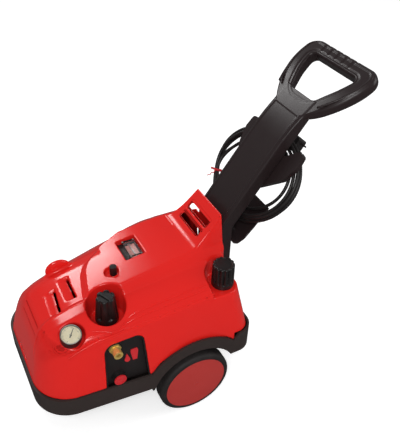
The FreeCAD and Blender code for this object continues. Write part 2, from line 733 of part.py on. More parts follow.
def make_axle_washers():
    inner = ring(V(0, -hub_inner_y + soft_gap, wheel_r), axle_axis, washer_r, axle_r, 2.6)
    outer = ring(V(0, -hub_end_y - soft_gap - 2, wheel_r), axle_axis, washer_r, axle_r, 2)
    return compound([inner, outer, mirrored(inner), mirrored(outer)])



# ---- Castor ---------------------------------------------------------------------------------


def make_castor_plate():
    base = box(castor_x - 42, castor_x + 42, -34, 34, tray_bottom - castor_plate_t, tray_bottom)
    base = rounded(base, 8, lambda e: abs(e.Length - castor_plate_t) < 1e-3)
    pin_low = castor_crown_top - castor_crown_t - soft_gap
    pin = cylinder(V(castor_x, 0, pin_low), up, kingpin_r, tray_bottom + tray_floor + 6 - pin_low)
    nut = cylinder(V(castor_x, 0, pin_low - 3), up, kingpin_r + 5, 3)
    head = cylinder(V(castor_x, 0, tray_bottom + tray_floor), up, kingpin_r + 5, 6)
    return base.fuse([pin, nut, head])


def make_castor_fork():
    low = castor_crown_top - castor_crown_t
    crown = cylinder(V(castor_x, 0, low), up, 27, castor_crown_t)
    inner = castor_width / 2 + castor_leg_gap
    axle_x = castor_x + castor_trail
    leg = plate([V(castor_x - 22, inner, low + 4), V(castor_x + 24, inner, low + 4), V(axle_x + 11, inner, castor_r - 11),
                 V(axle_x - 11, inner, castor_r - 11)], [0, 8, 9, 9], V(0, 4, 0))
    fork = crown.fuse([leg, mirrored(leg)])
    fork = fork.cut(cylinder(V(castor_x, 0, 0), up, kingpin_r + running_gap, 200))
    pin = cylinder(V(axle_x, -inner - 7, castor_r), axle_axis, castor_pin_r, 2 * inner + 14)
    return fork.fuse(pin).removeSplitter()


def make_castor_wheel():
    axle_x = castor_x + castor_trail
    tyre = cylinder(V(axle_x, -castor_width / 2, castor_r), axle_axis, castor_r, castor_width)
    tyre = tyre.makeFillet(4, [e for e in tyre.Edges if abs(e.BoundBox.ZLength - 2 * castor_r) < 0.1])
    hub_half = castor_width / 2 + castor_leg_gap - soft_gap
    hub = cylinder(V(axle_x, -hub_half, castor_r), axle_axis, 9, 2 * hub_half)
    bore = cylinder(V(axle_x, -40, castor_r), axle_axis, castor_pin_r + running_gap, 80)
    return tyre.fuse(hub).cut(bore)


# ---- Controls on the hood -------------------------------------------------------------------
def fluted(base, axis, r_low, r_top, height, ribs, depth):
    """Knob body with straight flutes round it."""
    body = cone(base, axis, r_low, r_top, height)
    for k in range(ribs):
        angle = 2 * math.pi * k / ribs
        around = V(math.cos(angle), math.sin(angle), 0)
        low = base + around * (r_low + 1.2)
        high = base + axis * height + around * (r_top + 1.2)
        body = body.cut(cylinder(low - axis * 2, (high - low).normalize(), depth, height + 20))
    return body


def make_regulator_knob():
    base = V(crater_x, crater_y, knob_low)
    skirt = 16.0
    flange = cone(base, up, knob_r_low + 0.6, knob_r_low - 0.5, skirt)
    body = fluted(base + up * skirt, up, knob_r_low - 2, knob_r_top, knob_top - knob_low - skirt, knob_ribs, 2.6)
    knob = flange.fuse(body)
    top = cylinder(V(crater_x, crater_y, knob_top - 2), up, knob_r_top - 6, 5)
    return knob.cut(top).cut(cylinder(base - up * 5, up, spindle_r + running_gap, 40))


def make_dose_knob():
    base = V(small_knob_x, small_knob_y, dose_low)
    knob = fluted(base, up, dose_r, dose_r - 0.4, dose_top - dose_low, 14, 1.4)
    return knob.cut(cylinder(base - up * 5, up, dose_spindle_r + running_gap, 17))


def make_dose_valve():
    under = small_floor - hood_wall
    body = cylinder(V(small_knob_x, small_knob_y, under - 34), up, 12, 34)
    barb = cylinder(V(small_knob_x, small_knob_y, under - 20), V(0, 1, 0), 4, 30)
    stem = cylinder(V(small_knob_x, small_knob_y, under), up, dose_spindle_r, dose_low + 10 - under)
    return body.fuse([barb, stem])


def make_tank_cap():
    base = V(cap_x, cap_y, cap_low)
    height = cap_top - cap_low
    body = fluted(base, up, cap_r, cap_r - 0.6, height, cap_ribs, 2.2)
    step = tank_neck_top + soft_gap + cap_seal_t
    body = body.cut(cylinder(base - up, up, tank_neck_r + 1.2, step - cap_low + 1))
    return body.cut(cylinder(base, up, tank_neck_r - 4, height - cap_wall))


def make_cap_seal():
    return ring(V(cap_x, cap_y, tank_neck_top + soft_gap), up, tank_neck_r + 0.6, tank_neck_r - 6, cap_seal_t)


def make_tank():
    """Detergent tank over the near wheel well, with the filler neck that comes up through the hood."""
    outer = box(tank_x0, tank_x1, tank_y0, tank_y1, tank_z0, tank_z1)
    outer = rounded(outer, 12, lambda e: abs(e.Length - (tank_z1 - tank_z0)) < 1e-3)
    neck = cylinder(V(cap_x, cap_y, tank_z1 - 10), up, tank_neck_r, tank_neck_top - tank_z1 + 10)
    inner = box(tank_x0 + tank_wall, tank_x1 - tank_wall, tank_y0 + tank_wall, tank_y1 - tank_wall,
                tank_z0 + tank_wall, tank_z1 - tank_wall)
    bore = cylinder(V(cap_x, cap_y, tank_z1 - 20), up, tank_neck_r - tank_neck_wall, 60)
    return outer.fuse(neck).cut(inner.fuse(bore))


def gauge_disc(low, radius, height):
    return cylinder(gauge_face + gauge_axis * low, gauge_axis, radius, height)


def make_gauge_case():
    case = gauge_disc(-gauge_depth, gauge_r, gauge_depth)
    stem = gauge_disc(-gauge_depth - 34, gauge_stem_r, 34)
    return case.cut(gauge_disc(-6, gauge_r - 2, 10)).fuse(stem)


def make_gauge_dial():
    dial = gauge_disc(-6, gauge_r - 2.3, 1)
    return dial.fuse(gauge_disc(-5, 1.2, 2.4))


def make_gauge_needle():
    pivot = gauge_disc(-4.4, 2.6, 1).cut(gauge_disc(-7, 1.2 + running_gap, 8))
    hand = box(-0.7, 0.7, 1.8, 17, 0, 0.8).fuse(box(-1.1, 1.1, -7, -1.8, 0, 0.8))
    hand.rotate(V(0, 0, 0), V(0, 0, 1), -38)
    hand.rotate(V(0, 0, 0), V(1, 0, 0), gauge_tilt)
    hand.translate(gauge_face + gauge_axis * -4.3)
    return pivot.fuse(hand).removeSplitter()


def make_gauge_glass():
    return gauge_disc(-1.8, gauge_r - 2.2, 1.5)


def make_switch_frame():
    """Black plate in the hood's recess with the rocker's well."""
    frame = box(switch_x0 + soft_gap, switch_x1 - soft_gap, switch_y0 + soft_gap, switch_y1 - soft_gap,
                switch_floor, switch_floor + switch_plate_t)
    return frame.cut(box(rocker_x0 - 1, rocker_x1 + 1, rocker_y0 - 0.5, rocker_y1 + 0.5,
                         switch_floor + 1, switch_floor + 20))


def rocker_pivot():
    return V((rocker_x0 + rocker_x1) / 2, 0, switch_floor + rocker_pin_rise)


def make_switch_pins():
    """Two ears beside the rocker, with the pins that it tilts on."""
    pivot = rocker_pivot()
    ears = []
    for y0, y1 in ((rocker_y0 - 3.5, rocker_y0 - 0.5), (rocker_y1 + 0.5, rocker_y1 + 3.5)):
        ears.append(box(pivot.x - 4, pivot.x + 4, y0, y1, switch_floor + switch_plate_t,
                        pivot.z + rocker_pin_r))
    pin = cylinder(V(pivot.x, rocker_y0 - 3.5, pivot.z), axle_axis, rocker_pin_r, rocker_y1 - rocker_y0 + 7)
    return compound(ears + [pin.cut(compound(ears))])


def make_rocker():
    pivot = rocker_pivot()
    body = box(rocker_x0, rocker_x1, rocker_y0, rocker_y1, switch_floor + 3.4, switch_floor + 8.5)
    dish = cylinder(V(pivot.x, rocker_y0 - 1, switch_floor + 8.5 + 36), axle_axis, 38, rocker_y1 - rocker_y0 + 2)
    pin = V(pivot.x, rocker_y0 - 5, pivot.z)
    rocker = body.cut(dish).cut(cylinder(pin, axle_axis, rocker_pin_r + running_gap, 100))
    rocker.rotate(pin, axle_axis, -rocker_tilt)
    return rocker


def make_switch_cover():
    low = switch_floor + switch_plate_t
    outer = box(cover_x0, cover_x1, cover_y0, cover_y1, low, low + cover_height)
    outer = rounded(outer, 4, lambda e: abs(e.Length - cover_height) < 1e-3)
    inner = box(cover_x0 + 5.5, cover_x1 - 1.2, cover_y0 + 5.5, cover_y1 - 5.5, low - 1, low + cover_height - 1.2)
    return outer.cut(inner).cut(box(cover_x0 + 1.2, cover_x1 - 1.2, cover_y0 + 8, cover_y1 - 8, low - 1,
                                    low + cover_height - 1.2))


def make_switch_screws():
    screws = []
    for x in (cover_x0 + 3.2, cover_x1 - 3.2):
        for y in (cover_y0 + 3.2, cover_y1 - 3.2):
            screws.append(cylinder(V(x, y, switch_floor + switch_plate_t + cover_height), up, 2.2, 1.6))
    return compound(screws)


def make_switch_box():
    top = switch_floor - hood_wall
    shell = box(switch_x0 - 2, switch_x1 + 2, switch_y0 - 2, switch_y1 + 2, top - switch_box_depth, top)
    return rounded(shell, 4, lambda e: abs(e.Length - switch_box_depth) < 1e-3)


# ---- Water side -----------------------------------------------------------------------------
def wall_y(x, z, inset):
    """Y of the near side wall at a depth, for pieces that stand out of it."""
    along = (x - nose_x) / (nose_bend_x - nose_x)
    half = nose_half + (rear_half - nose_half) * along if x < nose_bend_x else rear_half
    return -(half - hood_setback - inset - (z - seam_z) * side_draft)


outlet_place = V(outlet_x, wall_y(outlet_x, outlet_z, panel_inset), outlet_z)
inlet_place = V(inlet_x, wall_y(inlet_x, inlet_z, panel_inset), inlet_z)


def make_outlet():
    """Brass quick-screw outlet: a hexagon seated on the panel and a male thread."""
    seat = outlet_place + outward * outlet_seat
    hexagon = []
    for k in range(6):
        angle = math.pi * k / 3
        hexagon.append(seat + V(hexagon_half * math.cos(angle), 0, hexagon_half * math.sin(angle)))
    nut = plate(hexagon, 0, outward * hexagon_t)
    stem = cylinder(seat + outward * hexagon_t, outward, outlet_r, outlet_out - hexagon_t)
    back = cylinder(seat, V(0, 1, 0), outlet_r, 20)
    bore = cylinder(seat + outward * 40, V(0, 1, 0), outlet_bore_r, 80)
    return nut.fuse([stem, back]).cut(bore)


def make_inlet():
    seat = inlet_place + outward * inlet_seat
    collar = cylinder(seat, outward, inlet_r + 4, 3)
    nose = cylinder(seat, outward, inlet_r, inlet_out)
    back = cylinder(seat, V(0, 1, 0), inlet_r, 26)
    bore = cylinder(seat + outward * 40, V(0, 1, 0), inlet_bore_r, 80)
    return collar.fuse([nose, back]).cut(bore)


def make_inlet_cap():
    seat = inlet_place + outward * (inlet_seat + inlet_out + soft_gap)
    cap = cylinder(seat, outward, 15.5, 3.4)
    plug = cylinder(seat, V(0, 1, 0), inlet_bore_r - soft_gap, 6)
    dish = ring(seat + outward * 2.4, outward, 11, 4, 2)
    return cap.cut(dish).fuse(plug)


def make_panel_marks():
    """Raised pictograms on the panel: a drop and a lance."""
    marks = []
    skin = wall_band(panel_inset - 1.2, 1.2)
    drop = [V(-185, -250, 257), V(-170, -250, 257), V(-177.5, -250, 285)]
    marks.append(plate(drop, [5, 5, 2], V(0, 150, 0)).common(skin))
    lance = [V(-164, -250, 258), V(-153, -250, 258), V(-149, -250, 292), V(-168, -250, 292)]
    marks.append(plate(lance, 2, V(0, 150, 0)).common(skin))
    return compound(marks)


def make_pump_body():
    return rounded(box(pump_x0, motor_x0, -46, 46, motor_z - 42, motor_z + 42), 10,
                   lambda e: abs(e.Length - (motor_x0 - pump_x0)) < 1e-3).cut(
        cylinder(V(motor_x0 - 34, 0, motor_z), V(1, 0, 0), shaft_r + 1, 40))


def make_pump_head():
    block = box(head_x0, pump_x0, -40, 40, motor_z - 30, motor_z + 34)
    caps = [block]
    for y in (-24, 0, 24):
        caps.append(cylinder(V(head_x0 - 8, y, motor_z + 14), V(1, 0, 0), 9, 8))
        caps.append(cylinder(V(head_x0 - 8, y, motor_z - 14), V(1, 0, 0), 9, 8))
    return block.fuse(caps[1:])


def make_unloader():
    """Brass unloader on the pump head's side, with the spindle of the regulator knob."""
    block = box(crater_x - 15, crater_x + 15, crater_y - 16, -40, motor_z - 12, motor_z + 16)
    tower = cylinder(V(crater_x, crater_y, motor_z), up, tower_r, crater_floor - hood_wall - 2 - motor_z)
    stem = cylinder(V(crater_x, crater_y, crater_floor - hood_wall - 10), up, spindle_r, knob_low + 30 - crater_floor
                    + hood_wall + 10)
    return block.fuse([tower, stem]).removeSplitter()


def make_pressure_pipe():
    """From the unloader's side to the back of the brass outlet."""
    back = outlet_place + outward * outlet_seat + V(0, 20, 0)
    start = V(crater_x - 15, crater_y + 10, motor_z + 2)
    return pipe([start, start + V(-32, 0, 0), V(start.x - 36, back.y + 16, back.z - 20),
                 V(outlet_x, back.y + 24, outlet_z), back], pipe_r)


def make_supply_hose():
    """From the water inlet to the foot of the pump head."""
    start = inlet_place + outward * inlet_seat + V(0, 26, 0)
    end = V(head_x0 + 20, -40, motor_z - 22)
    return pipe([start, start + V(0, 34, 0), V(end.x, end.y - 30, end.z), end], hose_r)


def make_motor_housing():
    body = cylinder(V(motor_x0, 0, motor_z), V(1, 0, 0), motor_r, motor_x1 - motor_x0)
    inside = cylinder(V(motor_x0 + 12, 0, motor_z), V(1, 0, 0), motor_r - motor_shell, motor_x1 - motor_x0 - 24)
    bore = cylinder(V(motor_x0 - 20, 0, motor_z), V(1, 0, 0), shaft_r + running_gap, 300)
    body = body.cut(inside).cut(bore)
    foot_z = motor_z - motor_r - 3
    foot = box(motor_x0 + 14, motor_x1 - 14, -62, 62, foot_z, foot_z + motor_foot_t)
    posts = [box(x, x + 14, -40, 40, foot_z, motor_z - motor_r + 16) for x in (motor_x0 + 20, motor_x1 - 34)]
    housing = body.fuse([foot] + posts)
    for k in range(24):
        fin = box(motor_x0 + 12, motor_x1 - 12, motor_r - 1, motor_r + 5, -1.2, 1.2)
        fin.rotate(V(0, 0, 0), V(1, 0, 0), -30 + 240 * k / 23)
        fin.translate(V(0, 0, motor_z))
        housing = housing.fuse(fin)
    return housing.cut(inside).removeSplitter()


def make_rotor():
    core = cylinder(V(motor_x0 + 25, 0, motor_z), V(1, 0, 0), rotor_r, motor_x1 - motor_x0 - 50)
    shaft = cylinder(V(motor_x0 - 30, 0, motor_z), V(1, 0, 0), shaft_r, motor_x1 - motor_x0 + 30 + 22)
    return core.fuse(shaft)


def make_fan():
    hub = cylinder(V(motor_x1 + 8, 0, motor_z), V(1, 0, 0), 17, 12)
    blades = []
    for k in range(7):
        blade = box(-5, 5, 14, 56, -1.2, 1.2)
        blade.rotate(V(0, 0, 0), V(0, 1, 0), 38)
        blade.rotate(V(0, 0, 0), V(1, 0, 0), 360 * k / 7)
        blade.translate(V(motor_x1 + 14, 0, motor_z))
        blades.append(blade)
    fan = hub.fuse(blades)
    return fan.cut(cylinder(V(motor_x1, 0, motor_z), V(1, 0, 0), shaft_r, 60)).removeSplitter()


def make_fan_cowl():
    depth = 26.0
    outer = cylinder(V(motor_x1, 0, motor_z), V(1, 0, 0), motor_r, depth)
    inner = cylinder(V(motor_x1, 0, motor_z), V(1, 0, 0), motor_r - 2.5, depth - 2.5)
    cowl = outer.cut(inner)
    for k in range(12):
        slot = box(motor_x1 + depth - 5, motor_x1 + depth + 5, 24, 62, -2.5, 2.5)
        slot.rotate(V(0, 0, 0), V(1, 0, 0), 30 * k)
        slot.translate(V(0, 0, motor_z))
        cowl = cowl.cut(slot)
    return cowl


def make_motor_mounts():
    floor = tray_bottom + tray_floor
    top = motor_z - motor_r - 3
    feet = []
    for x in (motor_x0 + 26, motor_x1 - 26):
        for y in (-48, 48):
            feet.append(cylinder(V(x, y, floor), up, mount_r, top - floor))
    return compound(feet)


# ---- Cable ends -----------------------------------------------------------------------------
def rear_wall_x(z):
    return rear_x - (z - seam_z) * rear_draft - hood_setback


def gland_hole():
    return cylinder(V(rear_wall_x(lead_route[0].z) - 20, lead_route[0].y, lead_route[0].z), V(1, 0, 0),
                    gland_neck_r + soft_gap, 40)


def make_gland():
    """Tapered strain relief: a neck through the hood's rear wall, a flange seated on it and a sleeve."""
    end = lead_route[0]
    wall = rear_wall_x(end.z)
    ahead = V(1, 0, 0)
    flange = cylinder(V(wall - 6, end.y, end.z), ahead, gland_r, 13).cut(body_form(hood_setback))
    neck = cylinder(V(wall - 10, end.y, end.z), ahead, gland_neck_r, 14)
    sleeve = cone(V(wall + 4, end.y, end.z), ahead, gland_neck_r, cord_r + 1.5, end.x - wall - 4)
    return flange.fuse([neck, sleeve]).removeSplitter()


def make_plug():
    """Moulded mains plug that hangs on the back of the coil."""
    back = coil_n + coil_thick / 2 + soft_gap
    body = plate([on_column(plug_u - 19, -30, back), on_column(plug_u + 19, -30, back), on_column(plug_u + 19, 16, back),
                  on_column(plug_u + 9, 30, back), on_column(plug_u - 9, 30, back), on_column(plug_u - 19, 16, back)],
                 [5, 5, 8, 4, 4, 8], out_axis * plug_depth)
    pins = []
    for du in (-plug_pin_pitch / 2, plug_pin_pitch / 2):
        pins.append(cylinder(on_column(plug_u + du, -30, back + plug_depth / 2), outward, plug_pin_r, 19))
    return body.fuse(pins)


def make_cable_tie():
    """Thin tie round the bundle on the far side."""
    around = math.hypot(coil_thick, coil_bundle) / 2 + tie_r + soft_gap
    angle = math.radians(tie_angle)
    major, minor = coil_axes()
    a = coil_half_y - coil_bundle / 2
    b = coil_half_u - coil_bundle / 2
    at = on_column(coil_u, coil_y, coil_n) + major * (a * math.cos(angle)) + minor * (b * math.sin(angle))
    along = minor * (b * math.cos(angle)) - major * (a * math.sin(angle))
    return Part.makeTorus(around, tie_r, at, along)


# ---- Nodes ----------------------------------------------------------------------------------
def build_nodes():
    left = {"tyre": make_tyre(), "rim": make_rim(), "wheel_cover": make_wheel_cover()}
    nodes = {
        "chassis_tray": make_chassis(),
        "hood": make_hood(),
        "outlet_panel": make_outlet_panel(),
        "panel_marks": make_panel_marks(),
        "handle_column": make_column(),
        "handle_grip": make_grip(),
        "grip_pad": make_grip_pad(),
        "cable_cleat": make_cleat(),
        "cable_pocket": make_pocket(),
        "foot_bolts": make_foot_bolts(),
        "pressure_outlet": make_outlet(),
        "water_inlet": make_inlet(),
        "inlet_cap": make_inlet_cap(),
        "gauge_case": make_gauge_case(),
        "gauge_dial": make_gauge_dial(),
        "gauge_needle": make_gauge_needle(),
        "gauge_glass": make_gauge_glass(),
        "regulator_knob": make_regulator_knob(),
        "unloader_valve": make_unloader(),
        "detergent_knob": make_dose_knob(),
        "detergent_valve": make_dose_valve(),
        "switch_frame": make_switch_frame(),
        "switch_rocker": make_rocker(),
        "switch_pins": make_switch_pins(),
        "switch_cover": make_switch_cover(),
        "switch_screws": make_switch_screws(),
        "switch_box": make_switch_box(),
        "detergent_tank": make_tank(),
        "tank_cap": make_tank_cap(),
        "tank_cap_seal": make_cap_seal(),
        "axle": make_axle(),
        "axle_washers": make_axle_washers(),
        "castor_plate": make_castor_plate(),
        "castor_fork": make_castor_fork(),
        "castor_wheel": make_castor_wheel(),
        "motor_housing": make_motor_housing(),
        "motor_rotor": make_rotor(),
        "motor_fan": make_fan(),
        "fan_cowl": make_fan_cowl(),
        "motor_mounts": make_motor_mounts(),
        "pump_body": make_pump_body(),
        "pump_head": make_pump_head(),
        "pressure_pipe": make_pressure_pipe(),
        "supply_hose": make_supply_hose(),
        "cable_gland": make_gland(),
        "cable_lead": make_lead(),
        "cable_coil": make_coil(),
        "cable_tie": make_cable_tie(),
        "mains_plug": make_plug(),
    }
    for name, shape in left.items():
        nodes[name + "_left"] = shape
        nodes[name + "_right"] = mirrored(shape)
    return nodes


def middle_x():
    """Middle of the machine's length, from the nose of the tray to the rounded edge of the grip."""
    reach = (grip_bar_r - grip_edge) * (math.cos(rise) + math.sin(rise)) + grip_edge
    return (nose_x + grip_x + reach) / 2


def main():
    os.makedirs("parts", exist_ok=True)
    for name, shape in build_nodes().items():
        shape.translate(V(-middle_x(), 0, 0))
        shape.exportStep("parts/%s.step" % name)


if __name__ == "__main__":
    main()
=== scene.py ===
import json
import math

import bmesh
import bpy
import numpy as np
from mathutils import Matrix, Vector


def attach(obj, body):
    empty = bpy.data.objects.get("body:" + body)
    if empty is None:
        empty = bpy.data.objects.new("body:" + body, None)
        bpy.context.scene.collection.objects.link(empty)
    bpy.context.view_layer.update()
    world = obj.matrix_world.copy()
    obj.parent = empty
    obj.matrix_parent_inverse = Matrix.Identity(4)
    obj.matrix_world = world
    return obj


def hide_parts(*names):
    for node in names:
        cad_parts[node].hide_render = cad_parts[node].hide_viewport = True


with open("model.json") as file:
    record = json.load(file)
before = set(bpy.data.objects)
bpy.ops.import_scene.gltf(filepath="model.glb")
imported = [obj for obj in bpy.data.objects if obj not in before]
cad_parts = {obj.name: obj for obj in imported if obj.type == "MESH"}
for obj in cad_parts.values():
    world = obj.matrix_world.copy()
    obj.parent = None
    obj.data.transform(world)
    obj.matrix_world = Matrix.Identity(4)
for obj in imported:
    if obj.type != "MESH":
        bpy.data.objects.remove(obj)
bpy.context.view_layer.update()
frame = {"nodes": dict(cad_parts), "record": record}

bl_info = {
    "name": "Pressure washer",
    "version": (1, 0, 0),
    "blender": (4, 5, 0),
    "location": "View3D > Sidebar > Washer",
    "description": "Builds the outside of a wheeled pressure washer on its packed frame",
    "category": "Add Mesh",
}

# Station of the frame's origin, in millimetres behind the wheel axle.
MIDDLE = 62.598076
MM = 0.001


def at(x, y, z):
    """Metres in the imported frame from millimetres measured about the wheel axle."""
    return Vector(((x - MIDDLE) * MM, y * MM, z * MM))


# ---- Handle axes: the column leans back, the grip lies on its top -----------------------------
LEAN = math.radians(36)
UP_AXIS = Vector((math.sin(LEAN), 0, math.cos(LEAN)))
OUT_AXIS = Vector((math.cos(LEAN), 0, -math.sin(LEAN)))


def on_column(u, y, n):
    """Point in the column's own axes: up its length, to the far side and out of its front."""
    p = UP_AXIS * u + OUT_AXIS * n
    return at(p.x, y, p.z)


# ---- Moulded skins: a solid is a field that is negative inside, in millimetres about the axle ----
def round_max(a, b, r):
    """Both solids at once, with their shared edge rounded."""
    return np.minimum(-r, np.maximum(a, b)) + np.hypot(np.maximum(a + r, 0), np.maximum(b + r, 0))


def round_min(a, b, r):
    """Either solid, with a fillet where they meet."""
    return np.maximum(r, np.minimum(a, b)) - np.hypot(np.maximum(r - a, 0), np.maximum(r - b, 0))


def cut(a, b, r):
    """The first solid less the second, with the new edge rounded."""
    return round_max(a, -b, r)


def slab(value, low, high):
    """Between two parallel faces."""
    return np.abs(value - (low + high) / 2) - (high - low) / 2


def left_of(a, b, u, v):
    """Distance to the line through two points, positive on its left."""
    du, dv = b[0] - a[0], b[1] - a[1]
    return ((v - a[1]) * du - (u - a[0]) * dv) / math.hypot(du, dv)


CORNERS = [(i, j, k) for i in (0, 1) for j in (0, 1) for k in (0, 1)]


def cell_points(cells, values, low, step):
    """Mean of the places where the surface crosses each cell's edges."""
    total = np.zeros((len(cells), 3))
    hits = np.zeros(len(cells))
    for a in CORNERS:
        for axis in range(3):
            if a[axis]:
                continue
            b = list(a)
            b[axis] = 1
            value_a = values[tuple((cells + a).T)]
            value_b = values[tuple((cells + b).T)]
            crossed = (value_a < 0) != (value_b < 0)
            point = cells + np.array(a, float)
            point[:, axis] += np.where(crossed, value_a / np.where(crossed, value_a - value_b, 1), 0)
            total += point * crossed[:, None]
            hits += crossed
    return low + step * total / hits[:, None]


def cell_quads(inside, index):
    """A quad round each grid edge that the surface crosses, facing outwards."""
    faces = []
    steps = np.eye(3, dtype=int)
    for axis in range(3):
        a, b = steps[(axis + 1) % 3], steps[(axis + 2) % 3]
        first = [slice(1, count - 1) for count in inside.shape]
        second = list(first)
        first[axis] = slice(0, inside.shape[axis] - 1)
        second[axis] = slice(1, inside.shape[axis])
        here, there = inside[tuple(first)], inside[tuple(second)]
        for flag in (True, False):
            spot = np.argwhere((here == flag) & (there != flag)) + 1 - steps[axis]
            quad = np.stack([index[tuple(c.T)] for c in (spot - a - b, spot - b, spot, spot - a)], 1)
            faces.append(quad if flag else quad[:, ::-1])
    return np.concatenate(faces)


def net(field, low, high, step):
    """Quads over the field's zero surface, one vertex in each grid cell that it crosses."""
    low = np.array(low, float)
    counts = np.ceil((np.array(high) - low) / step).astype(int) + 1
    axes = [low[i] + step * np.arange(counts[i]) for i in range(3)]
    values = field(axes[0][:, None, None], axes[1][None, :, None], axes[2][None, None, :])
    values = np.broadcast_to(values, counts).astype(np.float32)
    inside = values < 0
    ends = counts - 1
    parts = [inside[i:ends[0] + i, j:ends[1] + j, k:ends[2] + k] for i, j, k in CORNERS]
    active = np.logical_or.reduce(parts) & ~np.logical_and.reduce(parts)
    cells = np.argwhere(active)
    index = np.full(active.shape, -1)
    index[active] = np.arange(len(cells))
    return cell_points(cells, values, low, step), cell_quads(inside, index)


def slopes(field, points):
    """Gradient of the field at each point."""
    reach = 0.15
    grades = np.empty_like(points)
    for i, shift in enumerate(np.eye(3) * reach):
        grades[:, i] = (field(*(points + shift).T) - field(*(points - shift).T)) / (2 * reach)
    return grades


def settle(field, points, limit, rounds=3):
    """Moves points onto the field's zero surface."""
    for _ in range(rounds):
        grades = slopes(field, points)
        move = field(*points.T)[:, None] * grades / np.maximum((grades ** 2).sum(1), 0.05)[:, None]
        size = np.linalg.norm(move, axis=1)[:, None]
        points = points - move * np.minimum(1, limit / np.maximum(size, 1e-9))
    return points


def link(obj):
    """Puts an object in the scene and gives it back."""
    bpy.context.scene.collection.objects.link(obj)
    return obj


def mesh_points(mesh):
    """Vertices of a mesh as rows of x, y and z."""
    flat = np.empty(len(mesh.vertices) * 3)
    mesh.vertices.foreach_get("co", flat)
    return flat.reshape(-1, 3)


def plain_mesh(obj):
    """Mesh of an object with its modifiers applied."""
    return bpy.data.meshes.new_from_object(obj.evaluated_get(bpy.context.evaluated_depsgraph_get()))


def skin(name, field, low, high, step, share=1.0):
    """A closed smooth mesh of a field, thinned to a share of its faces where it is flat."""
    points, faces = net(field, low, high, step)
    points = settle(field, points, step)
    shift = np.array((MIDDLE, 0, 0))
    mesh = bpy.data.meshes.new(name)
    mesh.from_pydata(((points - shift) * MM).tolist(), [], faces.tolist())
    obj = link(bpy.data.objects.new(name, mesh))
    if share < 1:
        thin = obj.modifiers.new("Thin", "DECIMATE")
        thin.ratio = share
        obj.data = plain_mesh(obj)
        obj.modifiers.clear()
        bpy.data.meshes.remove(mesh)
        mesh = obj.data
        mesh.name = name
        points = settle(field, mesh_points(mesh) / MM + shift, step, 2)
        mesh.vertices.foreach_set("co", ((points - shift) * MM).ravel())
    mesh.shade_smooth()
    grades = slopes(field, points)
    grades /= np.maximum(np.linalg.norm(grades, axis=1)[:, None], 1e-6)
    mesh.normals_split_custom_set_from_vertices(grades.tolist())
    mesh.update()
    return obj


def skin_detail(context, share):
    return ((context.scene.washer_sizes.skin_pitch / MM, share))


def tube(name, points, radius, closed=False):
    """Round rod along points in metres, its radius in millimetres."""
    curve = bpy.data.curves.new(name, "CURVE")
    curve.dimensions = "3D"
    curve.bevel_depth = radius * MM
    curve.bevel_resolution = 3
    curve.use_fill_caps = not closed
    spline = curve.splines.new("POLY")
    spline.points.add(len(points) - 1)
    for point, place_at in zip(spline.points, points):
        point.co = (*place_at, 1)
    spline.use_cyclic_u = closed
    rod = bpy.data.objects.new(name, curve)
    mesh = bpy.data.meshes.new_from_object(rod)
    bpy.data.objects.remove(rod)
    mesh.name = name
    mesh.shade_smooth()
    return link(bpy.data.objects.new(name, mesh))


def arc_tree():
    """Node tree that sets blocks round an arc, turned outwards."""
    tree = bpy.data.node_groups.new("Blocks round an arc", "GeometryNodeTree")
    for label, kind in (("Count", "Int"), ("Radius", "Float"), ("Start", "Float"), ("Sweep", "Float"),
                        ("Block", "Vector"), ("Centre", "Vector"), ("Turn", "Vector"),
                        ("Finish", "Material")):
        tree.interface.new_socket(label, in_out="INPUT", socket_type="NodeSocket" + kind)
    tree.interface.new_socket("Geometry", in_out="OUTPUT", socket_type="NodeSocketGeometry")
    given = add(tree, "NodeGroupInput").outputs
    arc = add(tree, "GeometryNodeCurveArc", {},
              {"Resolution": given["Count"], "Radius": given["Radius"],
               "Start Angle": given["Start"], "Sweep Angle": given["Sweep"]})
    block = add(tree, "GeometryNodeMeshCube", {}, {"Size": given["Block"]})
    spot = add(tree, "GeometryNodeInputPosition")
    facing = add(tree, "FunctionNodeAlignRotationToVector", {}, {"Vector": spot.outputs[0]},
                 axis="X", pivot_axis="Z")
    copies = add(tree, "GeometryNodeInstanceOnPoints", {},
                 {"Points": arc.outputs["Curve"], "Instance": block.outputs["Mesh"],
                  "Rotation": facing.outputs[0]})
    placed = add(tree, "GeometryNodeTransform", {},
                 {"Geometry": copies.outputs[0], "Translation": given["Centre"], "Rotation": given["Turn"]})
    real = add(tree, "GeometryNodeRealizeInstances", {}, {"Geometry": placed.outputs[0]})
    finish = add(tree, "GeometryNodeSetMaterial", {},
                 {"Geometry": real.outputs[0], "Material": given["Finish"]})
    add(tree, "NodeGroupOutput", {}, {"Geometry": finish.outputs[0]})
    return tree


def grown(name, tree, **inputs):
    """Plain mesh object that a node tree makes from the given inputs."""
    obj = link(bpy.data.objects.new(name, bpy.data.meshes.new(name)))
    modifier = obj.modifiers.new(name, "NODES")
    modifier.node_group = tree
    for item in tree.interface.items_tree:
        if item.in_out == "INPUT":
            modifier[item.identifier] = inputs[item.name.lower()]
    mesh = plain_mesh(obj)
    obj.modifiers.clear()
    obj.data = mesh
    return obj


def place(obj, slot, body, *nodes):
    """Finish, body and CAD nodes of a finished piece."""
    dress(obj, slot)
    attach(obj, body)
    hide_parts(*nodes)
    return obj


# ---- Colours and materials ---------------------------------------------------------------------
def linear(code):
    """Linear RGBA of a hex colour, or of a colour property."""
    if not isinstance(code, str):
        return (*code, 1)
    values = []
    for i in (1, 3, 5):
        c = int(code[i:i + 2], 16) / 255
        values.append(c / 12.92 if c <= 0.04045 else ((c + 0.055) / 1.055) ** 2.4)
    return (*values, 1)


